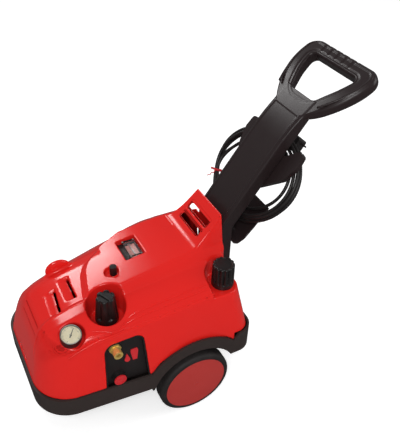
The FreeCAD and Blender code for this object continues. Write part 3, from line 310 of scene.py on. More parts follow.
def add(tree, kind, values=(), links=(), **settings):
    """Adds a node, sets its properties and input values, and links the given inputs."""
    node = tree.nodes.new(kind)
    for name, value in settings.items():
        setattr(node, name, value)
    for name, value in dict(values).items():
        node.inputs[name].default_value = value
    for name, socket in dict(links).items():
        tree.links.new(socket, node.inputs[name])
    return node


def new_material(name):
    """Material with an empty node tree."""
    material = bpy.data.materials.new(name)
    material.use_nodes = True
    material.node_tree.nodes.clear()
    return material, material.node_tree


def finish_material(tree, shader):
    """Shows a shader as the material's surface."""
    add(tree, "ShaderNodeOutputMaterial", links={"Surface": shader.outputs[0]})


def patches(tree, size_mm, detail):
    """Soft random values over patches of a real size."""
    place = add(tree, "ShaderNodeTexCoord")
    noise = add(tree, "ShaderNodeTexNoise", {"Scale": 1000 / size_mm, "Detail": detail},
                {"Vector": place.outputs["Object"]})
    return noise.outputs["Fac"]


def mottled(tree, colour, other, size_mm, amount):
    """Colour that drifts between two shades."""
    spread = add(tree, "ShaderNodeMapRange",
                 {"From Min": 0.35, "From Max": 0.65, "To Min": 0.0, "To Max": amount},
                 {"Value": patches(tree, size_mm, 3.0)})
    return add(tree, "ShaderNodeMix", {6: linear(colour), 7: linear(other)}, {0: spread.outputs["Result"]},
               data_type="RGBA").outputs[2]


def grain(tree, size_mm, depth_mm):
    """Fine moulded or cast grain as bump."""
    return add(tree, "ShaderNodeBump", {"Strength": 1.0, "Distance": depth_mm * MM},
               {"Height": patches(tree, size_mm, 2.0)}).outputs["Normal"]


def varied_roughness(tree, low, high, size_mm):
    """Roughness that drifts between two values."""
    return add(tree, "ShaderNodeMapRange", {"From Min": 0.3, "From Max": 0.7, "To Min": low, "To Max": high},
               {"Value": patches(tree, size_mm, 4.0)}).outputs["Result"]


def moulded(name, colour, other, rough, grain_mm, depth_mm, patch_mm=60.0, amount=0.5, **extra):
    """Injection-moulded plastic or rubber: one colour with faint drift, a grain and an even sheen."""
    material, tree = new_material(name)
    shader = add(tree, "ShaderNodeBsdfPrincipled", {"IOR": 1.5, **extra},
                 {"Base Color": mottled(tree, colour, other, patch_mm, amount),
                  "Roughness": varied_roughness(tree, rough[0], rough[1], patch_mm / 2),
                  "Normal": grain(tree, grain_mm, depth_mm)})
    finish_material(tree, shader)
    return material


def metal(name, colour, other, rough, grain_mm, depth_mm, patch_mm=12.0, **extra):
    """Bare metal: turned, cast or drawn, told apart by grain and roughness."""
    material, tree = new_material(name)
    shader = add(tree, "ShaderNodeBsdfPrincipled", {"Metallic": 1.0, **extra},
                 {"Base Color": mottled(tree, colour, other, patch_mm, 0.6),
                  "Roughness": varied_roughness(tree, rough[0], rough[1], patch_mm),
                  "Normal": grain(tree, grain_mm, depth_mm)})
    finish_material(tree, shader)
    return material


def clear_plastic(name, tint):
    """Glass-clear moulding."""
    material, tree = new_material(name)
    shader = add(tree, "ShaderNodeBsdfPrincipled",
                 {"Base Color": linear(tint), "IOR": 1.49, "Roughness": 0.05, "Transmission Weight": 1.0})
    finish_material(tree, shader)
    return material


def make_materials(colours):
    """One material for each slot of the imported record."""
    return {
        # Glossy ABS: strong even red, soft-edged highlights, faint ripple of the mould.
        "hood_red": moulded("Glossy red ABS", colours.hood, "#DE1F1C", (0.15, 0.18), 1.2, 0.002, 300, 0.3,
                            **{"Specular IOR Level": 0.42}),
        # Matte polypropylene of the wheel covers: a little duller and darker than the hood.
        "cover_red": moulded("Matte red polypropylene", colours.covers, "#B02A26", (0.42, 0.46),
                             0.8, 0.02, 120, 0.3),
        # Signs and dust cap: a clear red with a half-gloss face.
        "mark_red": moulded("Red ABS marks", "#D8232B", "#C81D26", (0.3, 0.4), 0.8, 0.01, 20),
        # Textured polypropylene of the tray: dark warm grey, spark-eroded grain.
        "tray_black": moulded("Grained black polypropylene", colours.tray, "#332B29", (0.45, 0.52),
                              0.9, 0.03, 70, **{"Specular IOR Level": 0.2}),
        # Filled nylon of the handle: nearly black, with broad satin highlights.
        "handle_black": moulded("Satin black polyamide", colours.handle, "#281F1F", (0.3, 0.36),
                                0.8, 0.008, 90, **{"Specular IOR Level": 0.35}),
        # Small black mouldings: half gloss, so that their edges catch the light.
        "panel_black": moulded("Black ABS", "#1E1A1A", "#262020", (0.35, 0.5), 0.6, 0.02, 30),
        "knob_black": moulded("Black phenolic", "#191515", "#221D1D", (0.3, 0.42), 0.6, 0.02, 20),
        "gauge_black": moulded("Black gauge enamel", "#161313", "#1E1A1A", (0.3, 0.4), 0.5, 0.01, 15),
        # Rubber: dull and dusty, with no clear highlight.
        "rubber_black": moulded("Black rubber", "#1F1B1B", "#292322", (0.6, 0.75), 0.5, 0.04, 20),
        "tyre_black": moulded("Tyre rubber", "#211C1C", "#2C2625", (0.6, 0.78), 0.7, 0.06, 25),
        "cable_black": moulded("Rubber cable sheath", "#1B1717", "#252020", (0.42, 0.55), 0.7, 0.03, 30),
        # Printed card, pigmented rocker and waxy tank plastic.
        "dial_cream": moulded("Printed cream dial", "#FFEFCC", "#FBE8BF", (0.5, 0.6), 0.3, 0.002, 8),
        "rocker_pink": moulded("Translucent red rocker", "#D98A82", "#C9766E", (0.25, 0.35), 0.5, 0.01, 8),
        "tank_white": moulded("Natural polyethylene", "#E4E1D6", "#D9D5C8", (0.4, 0.5), 0.8, 0.02, 40),
        "clear": clear_plastic("Clear polycarbonate", "#F4F7F7"),
        # Brass keeps some of its own yellow under a dulled skin; the other metals are bare.
        "brass": metal("Turned brass", "#F4D57E", "#E8C262", (0.3, 0.4), 0.3, 0.01, Metallic=0.6),
        "steel": metal("Zinc-plated steel", "#B9B9B6", "#A6A6A4", (0.3, 0.42), 0.4, 0.01),
        "motor_aluminium": metal("Die-cast aluminium", "#A9ABAC", "#979A9B", (0.45, 0.6), 0.9, 0.06),
    }


MATERIALS = {}


def dress(obj, slot):
    """Gives an object its slot's material alone."""
    obj.data.materials.clear()
    obj.data.materials.append(MATERIALS[slot])


# ---- Hood: millimetres about the wheel axle ------------------------------------------------------
SEAM, TAIL_SEAM, SETBACK, WALL = 198.0, 226.0, 4.0, 4.0
NOSE, NOSE_HALF, NOSE_BEND, REAR_HALF, REAR = -398.0, 182.0, -130.0, 203.0, 178.0
SIDE_DRAFT, NOSE_DRAFT, REAR_DRAFT = 0.09, 0.2, 0.218
NOSE_CORNER, REAR_CORNER = 88, 38
HUMP_FRONT, HUMP_HALF, COLUMN_FACE = -60, 88, 135
AXLE_HEIGHT, FENDER_R, WELL_R, WELL_HALF = 100, 155.4, 125.3, 145
# Roof from nose to rear: station, roof height, half width of the roof, height and half width of the
# edge below it, height and half width of the upper crease, radius of the roll to the far side.
CROWN = np.array([
    (-425, 252, 62, 248, 66, 228, 100, 60),
    (-398, 306, 72, 302, 76, 282, 116, 60),
    (-366, 354, 82, 350, 86, 330, 132, 62),
    (-327, 384, 85, 381, 88, 356, 143, 64),
    (-270, 402, 85, 399, 88, 374, 149, 77),
    (-144, 424, 85, 421, 88, 385, 152, 113),
    (-53, 439, 85, 436, 88, 391, 152, 134),
    (5, 447, 83, 441, 88, 395, 152, 148),
    (56, 450, 77, 443, 86, 397, 152, 144),
    (92, 479, 69, 444, 82, 399, 152, 144),
    (135, 526, 63, 445, 78, 400, 152, 144),
    (190, 586, 56, 446, 74, 402, 152, 144)], float)
GRID_X = np.arange(-440.0, 200.0, 1.0)
GRID_Y = np.arange(-230.0, 231.0, 1.0)
# The roof is no higher than its deck, but for the hump.
DECK = 450
# Radius of the roof's upper edge, by station.
EDGE_ROUND = ([-398, -330, -150], [36, 16, 5])
# Middle of the floor of each recess: knob, filler cap, gauge, dosing knob; then the switch's box.
CRATER, SCOOP, GAUGE, SMALL = (-198, -112, 352), (101, -143, 370), (-296, -144, 378), (-149, -37, 411)
SWITCH = (-108, -57, -21, 55, 412)
# Radius at the floor, radius at the rim and height of the two round recesses.
CRATER_SIZE, SMALL_SIZE = (41, 54, 88), (17, 18, 40)
SCOOP_R, GAUGE_CUP_R, GAUGE_CUP_DEPTH = 46, 31, 22
SPINDLE_HOLE_R, SMALL_HOLE_R, NECK_HOLE_R = 9, 4.5, 23
GAUGE_TILT = math.radians(17)
# Line across the roof where the deck steps down to the nose, and the far edge of the deck.
ROOF_STEP = np.array([(-228, -75), (-219, -36), (-208, 4), (-193, 29), (-144, 67), (-88, 90), (-40, 122)],
                     float)
FAR_CREST = np.array([(-215, 20), (-193, 32), (-144, 67), (-88, 88), (-27, 87), (60, 84), (110, 70),
                      (200, 60)], float)
STEP_DEPTH, LOUVER_DEPTH = 8, 8
# Front of each slot across the hump, with its half width, and that of the surround.
HUMP_SLOTS, SLOT_HALF, SURROUND_HALF = (77, 101), 46, 51
# Middle of each louver slot: station, side offset and skew.
LOUVERS = ((-294, -35, 0.1), (-252, -16, 0.02))
LOUVER_HALF_WIDTH, LOUVER_HALF = 2.3, 34
# Lifting lug on the far side of the nose: its middle and its half sizes.
LUG, LUG_SIZE = (-259, 66, 388), (33, 10, 29)
# Outlet panel: stations and heights of its edges.
PANEL, PANEL_CORNER = (-239, -124, 160, 343), 22
GRILLE_HEIGHT, GRILLE_HALF, GRILLE_REAR = 214, 36, -370
# Side offset, first and last station of each crease of the near flank.
CREASES, CREASE_R = ((-152, -248, 50), (-163, -262, 54), (-178, -320, 62)), 2.0
HOOD_BOX, HOOD_SHARE = ((-412, -212, 188), (190, 212, 540)), 0.42


def soften(line, sigma):
    """Row of values blurred over a length."""
    reach = int(4 * sigma)
    weights = np.exp(-0.5 * (np.arange(-reach, reach + 1) / sigma) ** 2)
    return np.convolve(np.pad(line, reach, mode="edge"), weights / weights.sum(), "valid")


def smooth_step(value, low, high):
    """From 0 at the low value to 1 at the high one, level at both ends."""
    t = np.clip((value - low) / (high - low), 0, 1)
    return t * t * (3 - 2 * t)


def near_line(roof, roof_half, top, top_half, crease, crease_half):
    """Heights across one station: roof, its edge, the crease and the flank below it."""
    across = [0, roof_half, top_half, top_half + 16, crease_half, 240]
    down = [roof, roof, top, top - (top - crease) * 0.5, crease, crease - 0.52 * (240 - crease_half)]
    return np.interp(np.abs(GRID_Y), across, down)


def far_line(station, roof, roof_half, roll):
    """Heights across one station of the far side: the roll, the deck's crest and the hump."""
    deck = min(roof, DECK)
    over = np.maximum(GRID_Y - 25, 0)
    # Past 1.4 of its radius the roll goes on straight, from where it has fallen by 0.98 of it.
    straight = deck - 0.98 * roll - 1.4 * (over - 1.4 * roll)
    rolled = np.where(over > 1.4 * roll, straight, deck - over ** 2 / (2 * roll))
    crest = np.interp(station, FAR_CREST[:, 0], FAR_CREST[:, 1])
    raised = deck - 0.4 - np.maximum(GRID_Y - crest, 0) * 1.1
    raised -= 60 * (1 - smooth_step(station, -200, -150))
    flank = np.interp(GRID_Y, [0, roof_half, roof_half + 14], [roof, roof, 300])
    return np.maximum(np.maximum(rolled, raised), flank if roof > DECK else 0)


def roof_heights():
    """Height of the hood's top over its plan."""
    columns = [soften(np.interp(GRID_X, CROWN[:, 0], CROWN[:, i]), 9 if i == 1 else 14) for i in range(1, 8)]
    heights = np.empty((len(GRID_X), len(GRID_Y)))
    for i, (*line, roll) in enumerate(zip(*columns)):
        far = far_line(GRID_X[i], line[0], line[1], roll)
        heights[i] = np.where(GRID_Y < 0, near_line(*line), far)
    heights = np.apply_along_axis(soften, 1, heights, 1.6)
    xs, ys = np.meshgrid(GRID_X, GRID_Y, indexing="ij")
    edge = np.interp(ys, ROOF_STEP[:, 1], ROOF_STEP[:, 0])
    ahead = (edge - xs) * 0.8
    fade = smooth_step(ys, -88, -70) * (1 - smooth_step(xs, -90, -20)) * smooth_step(xs, -400, -330)
    heights -= STEP_DEPTH * smooth_step(ahead, -4, 12) * fade
    for x, y, skew in LOUVERS:
        along = xs - x - (ys - y) * skew
        dip = smooth_step(along, -30, -1) * (1 - smooth_step(along, 1, 4))
        ends = smooth_step(ys, y - 42, y - 32), 1 - smooth_step(ys, y + 30, y + 40)
        heights -= LOUVER_DEPTH * dip * ends[0] * ends[1]
    return heights


HEIGHTS = roof_heights()
GRADES = np.hypot(*np.gradient(HEIGHTS))


def sample(grid, x, y):
    """Value between the points of a grid over the hood's plan."""
    u = np.clip(x - GRID_X[0], 0, len(GRID_X) - 1.001)
    v = np.clip(y - GRID_Y[0], 0, len(GRID_Y) - 1.001)
    i, j = u.astype(int), v.astype(int)
    s, t = u - i, v - j
    low = grid[i, j] * (1 - s) + grid[i + 1, j] * s
    high = grid[i, j + 1] * (1 - s) + grid[i + 1, j + 1] * s
    return low * (1 - t) + high * t


def hood_walls(x, half, rise):
    """Drafted sides, slanting in towards the nose, with the front and the rear."""
    lean = rise * SIDE_DRAFT + SETBACK
    side = half - (REAR_HALF - lean)
    oblique = left_of((NOSE, NOSE_HALF), (NOSE_BEND, REAR_HALF), x, half) + lean
    front = NOSE + rise * NOSE_DRAFT + SETBACK - x
    rear = x - (REAR - SETBACK - rise * REAR_DRAFT)
    return round_max(round_max(np.maximum(side, oblique), front, NOSE_CORNER), rear, REAR_CORNER)


def hood_block(x, y, z):
    """The hood's outer form before its recesses."""
    half = np.abs(y)
    hump = np.maximum(round_max(half - HUMP_HALF, x - COLUMN_FACE, 6), HUMP_FRONT - x)
    wall = round_min(hood_walls(x, half, z - SEAM), hump, 8)
    grade = sample(GRADES, x, y)
    crown = (z - sample(HEIGHTS, x, y)) / np.sqrt(1 + grade ** 2)
    lug = np.sqrt(sum(((p - c) / r) ** 2 for p, c, r in zip((x, y, z), LUG, LUG_SIZE))) - 1
    return round_min(round_max(wall, crown, np.interp(x, *EDGE_ROUND)), lug * 12, 8)


def cup(x, y, z, place, low_r, high_r, height):
    """A round recess that opens upwards."""
    taper = (high_r - low_r) / height
    around = (np.hypot(x - place[0], y - place[1]) - low_r - (z - place[2]) * taper) / math.hypot(1, taper)
    return round_max(around, place[2] - z, 4)


def scoop(x, y, z):
    """Recess of the filler cap, open to the near side and to the rear."""
    cx, cy, floor = SCOOP
    around = np.hypot(x - cx, y - cy) - SCOOP_R
    outward = np.maximum(cx - SCOOP_R - x, y - cy)
    rearward = np.maximum(np.maximum(cx - x, cy - 20 - y), y - cy - SCOOP_R)
    return round_max(np.minimum(around, np.minimum(outward, rearward)), floor - z, 5)


def gauge_cup(x, y, z):
    """Tilted recess round the gauge."""
    gx, gy, gz = GAUGE
    depth = (z - gz) * math.cos(GAUGE_TILT) - (y - gy) * math.sin(GAUGE_TILT)
    aside = (y - gy) * math.cos(GAUGE_TILT) + (z - gz) * math.sin(GAUGE_TILT)
    around = np.hypot(x - gx, aside) - GAUGE_CUP_R - (depth + GAUGE_CUP_DEPTH) * 0.11
    return round_max(around, -GAUGE_CUP_DEPTH - depth, 4)


def switch_well(x, y, z):
    """Square recess of the mains switch."""
    x0, x1, y0, y1, floor = SWITCH
    sides = round_max(slab(x, x0, x1), slab(y, y0, y1), 3)
    return np.maximum(sides, floor - z)


def panel_cut(x, z):
    """Outline of the outlet panel on the near flank, open at its foot."""
    x0, x1, z0, z1 = PANEL
    left = left_of((x0, z0), (x0 + 8, z1 - 10), x, z)
    top = left_of((x0 + 8, z1 - 10), (x1 - 12, z1), x, z)
    right = left_of((x1 - 12, z1), (x1, z0), x, z)
    return round_max(round_max(left, top, PANEL_CORNER), right, PANEL_CORNER)


def hollowed(block, x, y, z):
    """The block with its recesses, as a moulding of even wall."""
    recesses = [(cup(x, y, z, CRATER, *CRATER_SIZE), 4), (scoop(x, y, z), 4), (gauge_cup(x, y, z), 3),
                (cup(x + 4, y - 2, z, SMALL, *SMALL_SIZE), 2.5), (switch_well(x, y, z), 1.5)]
    form, hollow = block, block + WALL
    for recess, edge_r in recesses:
        form = cut(form, recess, edge_r)
        hollow = np.maximum(hollow, WALL - recess)
    return np.maximum(form, -hollow)


def with_hump_slots(form, x, y, z):
    """Slots across the hump, each in a shallow surround and open at the far flank."""
    for front in HUMP_SLOTS:
        slot = round_max(slab(x, front, front + 8), slab(y, -SLOT_HALF, SLOT_HALF), 3)
        surround = round_max(slab(x, front - 5, front + 13), slab(y, -SURROUND_HALF, SURROUND_HALF), 5)
        deep = sample(HEIGHTS, x, y) - z - 2.2
        form = cut(form, np.maximum(surround, deep), 1.2)
        form = cut(form, np.maximum(slot, 380 - z), 1)
        flank = np.maximum(slab(x, front - 1, front + 32), slab(z, front + 350, front + 377))
        form = np.maximum(form, -np.maximum(flank, np.abs(y - 72) - 24))
    return form


def with_vents(form, x, y, z):
    """Louver slots in the roof and the grille slot low in the nose."""
    for mid_x, mid_y, skew in LOUVERS:
        across = np.abs(x - mid_x - (y - mid_y) * skew) - LOUVER_HALF_WIDTH
        slot = np.maximum(across, np.abs(y - mid_y) - LOUVER_HALF)
        form = np.maximum(form, -np.maximum(slot, 300 - z))
    grille = np.maximum(np.abs(z - GRILLE_HEIGHT) - 4, np.abs(y) - GRILLE_HALF)
    return cut(form, np.maximum(grille, x - GRILLE_REAR), 1.5)


def clear_of_tray(form, x, y, z):
    """Room for the fenders and the wheel wells, above the seam with the tray."""
    arch = np.hypot(x, z - AXLE_HEIGHT)
    fender = np.maximum(arch - FENDER_R, REAR_HALF - 8 - np.abs(y))
    well = np.maximum(arch - WELL_R, WELL_HALF - np.abs(y))
    form = np.maximum(form, -np.minimum(fender, well))
    seam = np.maximum(SEAM + 0.4 - z, np.where(x > 117, TAIL_SEAM + 0.4 - z, -50))
    return round_max(form, seam, 2)


def hood(x, y, z):
    """The whole hood."""
    form = hollowed(hood_block(x, y, z), x, y, z)
    form = cut(form, np.maximum(COLUMN_FACE - x, np.abs(y) - 62), 2)
    form = cut(form, np.maximum(panel_cut(x, z), y + 100), 3)
    form = with_vents(with_hump_slots(form, x, y, z), x, y, z)
    form = clear_of_tray(form, x, y, z)
    spindles = np.minimum(np.hypot(x - CRATER[0], y - CRATER[1]) - SPINDLE_HOLE_R,
                          np.hypot(x - SMALL[0], y - SMALL[1]) - SMALL_HOLE_R)
    neck = np.hypot(x - SCOOP[0], y - SCOOP[1]) - NECK_HOLE_R
    return np.maximum(form, -np.minimum(spindles, neck))


def crease_line(side, start, end):
    """Points along a crease of the near flank, led round the knob's recess."""
    xs = np.arange(start, end, 6.0)
    ys = side - max(0.0, 172 + side) * np.exp(-((xs - CRATER[0]) / 34) ** 2)
    zs = sample(HEIGHTS, xs, ys)
    return [at(*point) for point in zip(xs, ys, zs - 0.9)]


class WASHER_OT_hood(bpy.types.Operator):
    """Moulded hood with its recesses, slots and creases"""
    bl_idname = "washer.hood"
    bl_label = "Hood"

    def execute(self, context):
        obj = skin("hood_skin", hood, *HOOD_BOX, *skin_detail(context, HOOD_SHARE))
        place(obj, "hood_red", "frame", "hood")
        for i, line in enumerate(CREASES):
            place(tube("crease_%d" % (i + 1), crease_line(*line), CREASE_R), "hood_red", "frame")
        return {"FINISHED"}


# ---- Handle: the column's front lies at a distance along its lean, the grip on a plane of its own --
COLUMN_FRONT, COLUMN_BACK, COLUMN_HALF, COLUMN_FOOT = -170, -134, 60, 226
BEND_R = 42
GRIP_RISE = math.radians(30)
# Middle of the grip's bar: station and height. The grip is measured back along its plane from there.
GRIP = (504.0, 838.0)
GRIP_THICK, GRIP_START, HOLE_START = 17, -205, -148
GRIP_LINE = np.arange(-240.0, 41.0)
# Half width of the grip and of its opening, by distance along the grip.
GRIP_OUT = np.array([(-240, 50), (-205, 55), (-190, 66), (-170, 82), (-145, 97), (-120, 110), (-90, 122),
                     (-60, 130), (-35, 132), (-10, 130), (30, 124)], float)
GRIP_IN = np.array([(-160, 30), (-140, 44), (-115, 58), (-85, 74), (-50, 85), (-20, 89)], float)
GROOVE_PITCH, GROOVE_DEPTH, GROOVE_MIDDLE = 27, 2.2, 14
HANDLE_BOX, HANDLE_SHARE = ((128, -138, 220), (530, 138, 864)), 0.5


def beside(table, s, half):
    """Distance to an even outline whose half width follows a table along the grip."""
    line = soften(np.interp(GRIP_LINE, table[:, 0], table[:, 1]), 8)
    grade = np.interp(s, GRIP_LINE, np.gradient(line))
    return (half - np.interp(s, GRIP_LINE, line)) / np.sqrt(1 + grade ** 2)


def column_form(x, z, half, n, s, m):
    """Leaning box on an upright foot, hollow at the back, with a bead along each front edge."""
    front = round_max(round_max(COLUMN_FRONT - n, COLUMN_FACE + 0.6 - x, 10), m - GRIP_THICK, BEND_R)
    back = np.minimum(n - COLUMN_BACK, x - 172)
    column = round_max(round_max(half - COLUMN_HALF, front, 6), back, 3)
    column = np.maximum(column, COLUMN_FOOT - z)
    bead = np.hypot(half - (COLUMN_HALF - 10), front + 1.2) - 3.0
    column = round_min(column, round_max(bead, s + 190, 3), 2)
    room = np.maximum(np.maximum(half - (COLUMN_HALF - 4), front + 4), m + 12)
    return np.maximum(np.maximum(column, -room), s + 140)


def grip_form(half, n, s, m):
    """Flat D with rounded edges, a groove and a bead round its opening."""
    outer = np.maximum(round_max(beside(GRIP_OUT, s, half), s - 9, 34), GRIP_START - s)
    hole = round_max(round_max(beside(GRIP_IN, s, half), HOLE_START - s, 18), s + 34, 16)
    groove = 1.6 * np.exp(-((hole - 9) / 3.0) ** 2) * (m > 0)
    face = np.maximum(np.abs(m) - GRIP_THICK + groove, GRIP_START - s)
    grip = cut(round_max(round_max(outer, face, 14), COLUMN_FRONT - n, BEND_R), hole, 9)
    bead = np.maximum(np.hypot(outer + 12, m - 15.4) - 3.2, -150 - s)
    return round_min(grip, bead, 2)


def handle(x, y, z):
    """Column and D-grip as one moulding, with finger grooves across the outer side of the bar."""
    half = np.abs(y)
    n = x * math.cos(LEAN) - z * math.sin(LEAN)
    s = (x - GRIP[0]) * math.cos(GRIP_RISE) + (z - GRIP[1]) * math.sin(GRIP_RISE)
    m = (z - GRIP[1]) * math.cos(GRIP_RISE) - (x - GRIP[0]) * math.sin(GRIP_RISE)
    form = round_min(column_form(x, z, half, n, s, m), grip_form(half, n, s, m), 4)
    aside = y - GROOVE_MIDDLE
    grooves = aside - GROOVE_PITCH * np.round(aside / GROOVE_PITCH)
    over = smooth_step(m + s + 12, 2, 14) * smooth_step(62 - np.abs(aside), 0, 4) * (s > -30)
    return form + GROOVE_DEPTH * np.exp(-(grooves / 3.2) ** 2) * over


class WASHER_OT_handle(bpy.types.Operator):
    """Handle column and grip as one moulding"""
    bl_idname = "washer.handle"
    bl_label = "Handle"

    def execute(self, context):
        obj = skin("handle_skin", handle, *HANDLE_BOX, *skin_detail(context, HANDLE_SHARE))
        place(obj, "handle_black", "frame", "handle_column", "handle_grip", "grip_pad")
        return {"FINISHED"}


# ---- Knobs -------------------------------------------------------------------------------------
REGULATOR_FOOT, REGULATOR_TOP, REGULATOR_BORE = 354.3, 428, 6.1
CAP_FOOT, CAP_TOP, CAP_ROOM = 371.3, 437, 24.6
KNOB_STEP, KNOB_REACH = 1.1, 32


def lobed(x, y, z, middle, low, top, r_low, r_top, lobes, depth):
    """Tapered knob with rounded grip flutes and a plain collar at its foot."""
    dx, dy = x - middle[0], y - middle[1]
    r = np.hypot(dx, dy)
    waves = (0.5 - 0.5 * np.cos(lobes * np.arctan2(dy, dx))) ** 2
    radius = r_low + (r_top - r_low) * (z - low) / (top - low)
    side = (r - radius + depth * waves * smooth_step(z, low + 12, low + 17)) * 0.9
    return round_max(round_max(side, z - top, 4), low - z, 1)


def regulator(x, y, z):
    """Tapered knob with six deep flutes, a bar across its top and a bore for the spindle."""
    knob = lobed(x, y, z, CRATER, REGULATOR_FOOT, REGULATOR_TOP, 28.5, 22.5, 6, 5.0)
    dx, dy = x - CRATER[0], y - CRATER[1]
    r = np.hypot(dx, dy)
    across = np.abs(dx * 0.9 + dy * 0.43)
    knob = cut(knob, np.maximum(np.maximum(r - 17, REGULATOR_TOP - 3.5 - z), 4.5 - across), 1.2)
    return np.maximum(knob, -np.maximum(r - REGULATOR_BORE, z - 389))


def filler_cap(x, y, z):
    """Straight cap with fourteen flutes, a dished top and room for the tank's neck."""
    knob = lobed(x, y, z, SCOOP, CAP_FOOT, CAP_TOP, 28.8, 28.0, 14, 3.0)
    r = np.hypot(x - SCOOP[0], y - SCOOP[1])
    knob = cut(knob, np.maximum(r - 21, CAP_TOP - 1.8 - z), 1.2)
    return np.maximum(knob, -np.maximum(r - CAP_ROOM, z - (CAP_TOP - 4.5)))


class WASHER_OT_knobs(bpy.types.Operator):
    """Regulator knob and filler cap with their grip flutes"""
    bl_idname = "washer.knobs"
    bl_label = "Knobs"

    def execute(self, context):
        step = KNOB_STEP
        for name, field, middle, low, top, body, node in (
                ("regulator_skin", regulator, CRATER, 354, REGULATOR_TOP, "pressure_knob", "regulator_knob"),
                ("filler_cap_skin", filler_cap, SCOOP, 371, CAP_TOP, "filler_cap", "tank_cap")):
            near = (middle[0] - KNOB_REACH, middle[1] - KNOB_REACH, low - 3)
            far = (middle[0] + KNOB_REACH, middle[1] + KNOB_REACH, top + 3)
            place(skin(name, field, near, far, step), "knob_black", body, node)
        return {"FINISHED"}


# ---- Gauge, wheels and panel marks -------------------------------------------------------------
# Metres: radius of the gauge's rim and of the middle of its ticks, then length, width and height of
# a fine and a main tick.
RIM_POINTS, RIM_R, SCALE_R = 48, 0.0238, 0.0184
FINE_TICK, MAIN_TICK = (0.0018, 0.0004, 0.0002), (0.0036, 0.0008, 0.0002)
# Millimetres: side offset of the middle of each tyre and of the tread rows from it.
TYRES, TREAD_ROWS = (("wheel_left", -187.0), ("wheel_right", 187.0)), (-7.0, 7.0)
TREAD_R, TREAD_LUG = 0.0998, (0.0012, 0.0048, 0.011)
# Station, height and radius of the drop's round end, and the height of its tip.
DROP, DROP_TIP = (-177.5, 264, 7), 283
LANCE = [(-164, 258), (-153, 258), (-149, 286), (-151, 294), (-167, 292), (-168, 284)]


def panel_face(x, z, proud):
    """Point on the outlet panel's face, raised by a height."""
    half = NOSE_HALF + (REAR_HALF - NOSE_HALF) * (x - NOSE) / (NOSE_BEND - NOSE)
    return at(x, -(half - SETBACK - 10 + proud - (z - SEAM) * SIDE_DRAFT), z)


def mark(name, outline):
    """Raised sign on the outlet panel from its outline in station and height."""
    count = len(outline)
    points = [panel_face(x, z, proud) for proud in (-0.4, 1.4) for x, z in outline]
    faces = [tuple(range(count, 2 * count)), tuple(reversed(range(count)))]
    faces += [(i, (i + 1) % count, count + (i + 1) % count, count + i) for i in range(count)]
    mesh = bpy.data.meshes.new(name)
    mesh.from_pydata(points, [], faces)
    return link(bpy.data.objects.new(name, mesh))


class WASHER_OT_details(bpy.types.Operator):
    """Gauge rim and scale, tyre tread and the panel's raised signs"""
    bl_idname = "washer.details"
    bl_label = "Details"

    def execute(self, context):
        sizes = context.scene.washer_sizes
        tree = arc_tree()
        self.gauge(tree, sizes.scale_ticks)
        self.tread(tree, sizes.tread_lugs)
        self.signs()
        return {"FINISHED"}

    def gauge(self, tree, fine_ticks):
        """Rim round the gauge's glass, and two rows of ticks on its dial."""
        axis = Vector((0, -math.sin(GAUGE_TILT), math.cos(GAUGE_TILT)))
        side = Vector((0, math.cos(GAUGE_TILT), math.sin(GAUGE_TILT)))
        centre = Vector(at(*GAUGE))
        rim = []
        for i in range(RIM_POINTS):
            t = 2 * math.pi * i / RIM_POINTS
            out = Vector((1, 0, 0)) * math.cos(t) + side * math.sin(t)
            rim.append(centre + out * RIM_R - axis * 0.0002)
        place(tube("gauge_rim", rim, 0.8, True), "steel", "frame")
        for name, count, block in (("gauge_scale_fine", fine_ticks, FINE_TICK),
                                   ("gauge_scale", 6, MAIN_TICK)):
            ticks = grown(name, tree, count=count, radius=SCALE_R, start=math.radians(-45),
                          sweep=math.radians(270), block=block, centre=centre - axis * 0.0049,
                          turn=(GAUGE_TILT, 0, 0), finish=MATERIALS["gauge_black"])
            place(ticks, "gauge_black", "frame")

    def tread(self, tree, lugs):
        """Two rows of lugs round each tyre, the second set between the lugs of the first."""
        for body, middle in TYRES:
            for row, shift in enumerate(TREAD_ROWS):
                blocks = grown("%s_tread_%d" % (body, row + 1), tree, count=lugs, radius=TREAD_R,
                               start=row * math.pi / lugs, sweep=2 * math.pi * (1 - 1 / lugs),
                               block=TREAD_LUG, centre=at(0, middle + shift, AXLE_HEIGHT),
                               turn=(math.pi / 2, 0, 0), finish=MATERIALS["tyre_black"])
                place(blocks, "tyre_black", body)

    def signs(self):
        """A water drop and a spray lance on the outlet panel."""
        x, z, r = DROP
        turns = [math.radians(150 + 240 * i / 18) for i in range(19)]
        drop = [(x + r * math.cos(t), z + r * math.sin(t)) for t in turns] + [(x, DROP_TIP)]
        place(mark("drop_sign", drop), "mark_red", "frame", "panel_marks")
        place(mark("lance_sign", LANCE), "mark_red", "frame")


# ---- Mains lead --------------------------------------------------------------------------------
# From the strain relief up to the coil, and in column axes from the coil into the plug.
LEAD_ROUTE = [(190, 112, 305), (221, 112, 305), (243, 113, 326), (249, 114, 359), (241, 115, 393),
              (227, 116, 424), (216, 117, 453)]
PLUG_ROUTE = [(731, 78, -84), (737, 55, -75), (737, 28, -74.4)]
# Middle of the coil in column axes, and its turn in its own plane.
COIL_U, COIL_Y, COIL_N, COIL_TILT = 614.0, 18.0, -104.7, math.radians(12)
# Half width, half height and depth of each turn, from where the lead joins to where the plug leaves.
TURNS = [(163, 129, 8), (154, 120, 9), (161, 127, -1), (125, 98, 0), (157, 123, -10), (149, 114, -11),
         (134, 103, 4)]
MEAN_TURN = (148, 115, 0)
TIE_ANGLE = math.radians(-22)
TURN_POINTS, TURNS_LAID = 16, 5.3
TIE_OUT, TIE_DEEP, TIE_R = 17, 16, 1.3


def on_coil(a, b, deep):
    """Point from offsets across and up the coil and its depth."""
    y = COIL_Y + a * math.cos(COIL_TILT) + b * math.sin(COIL_TILT)
    u = COIL_U - a * math.sin(COIL_TILT) + b * math.cos(COIL_TILT)
    return u, y, COIL_N + deep


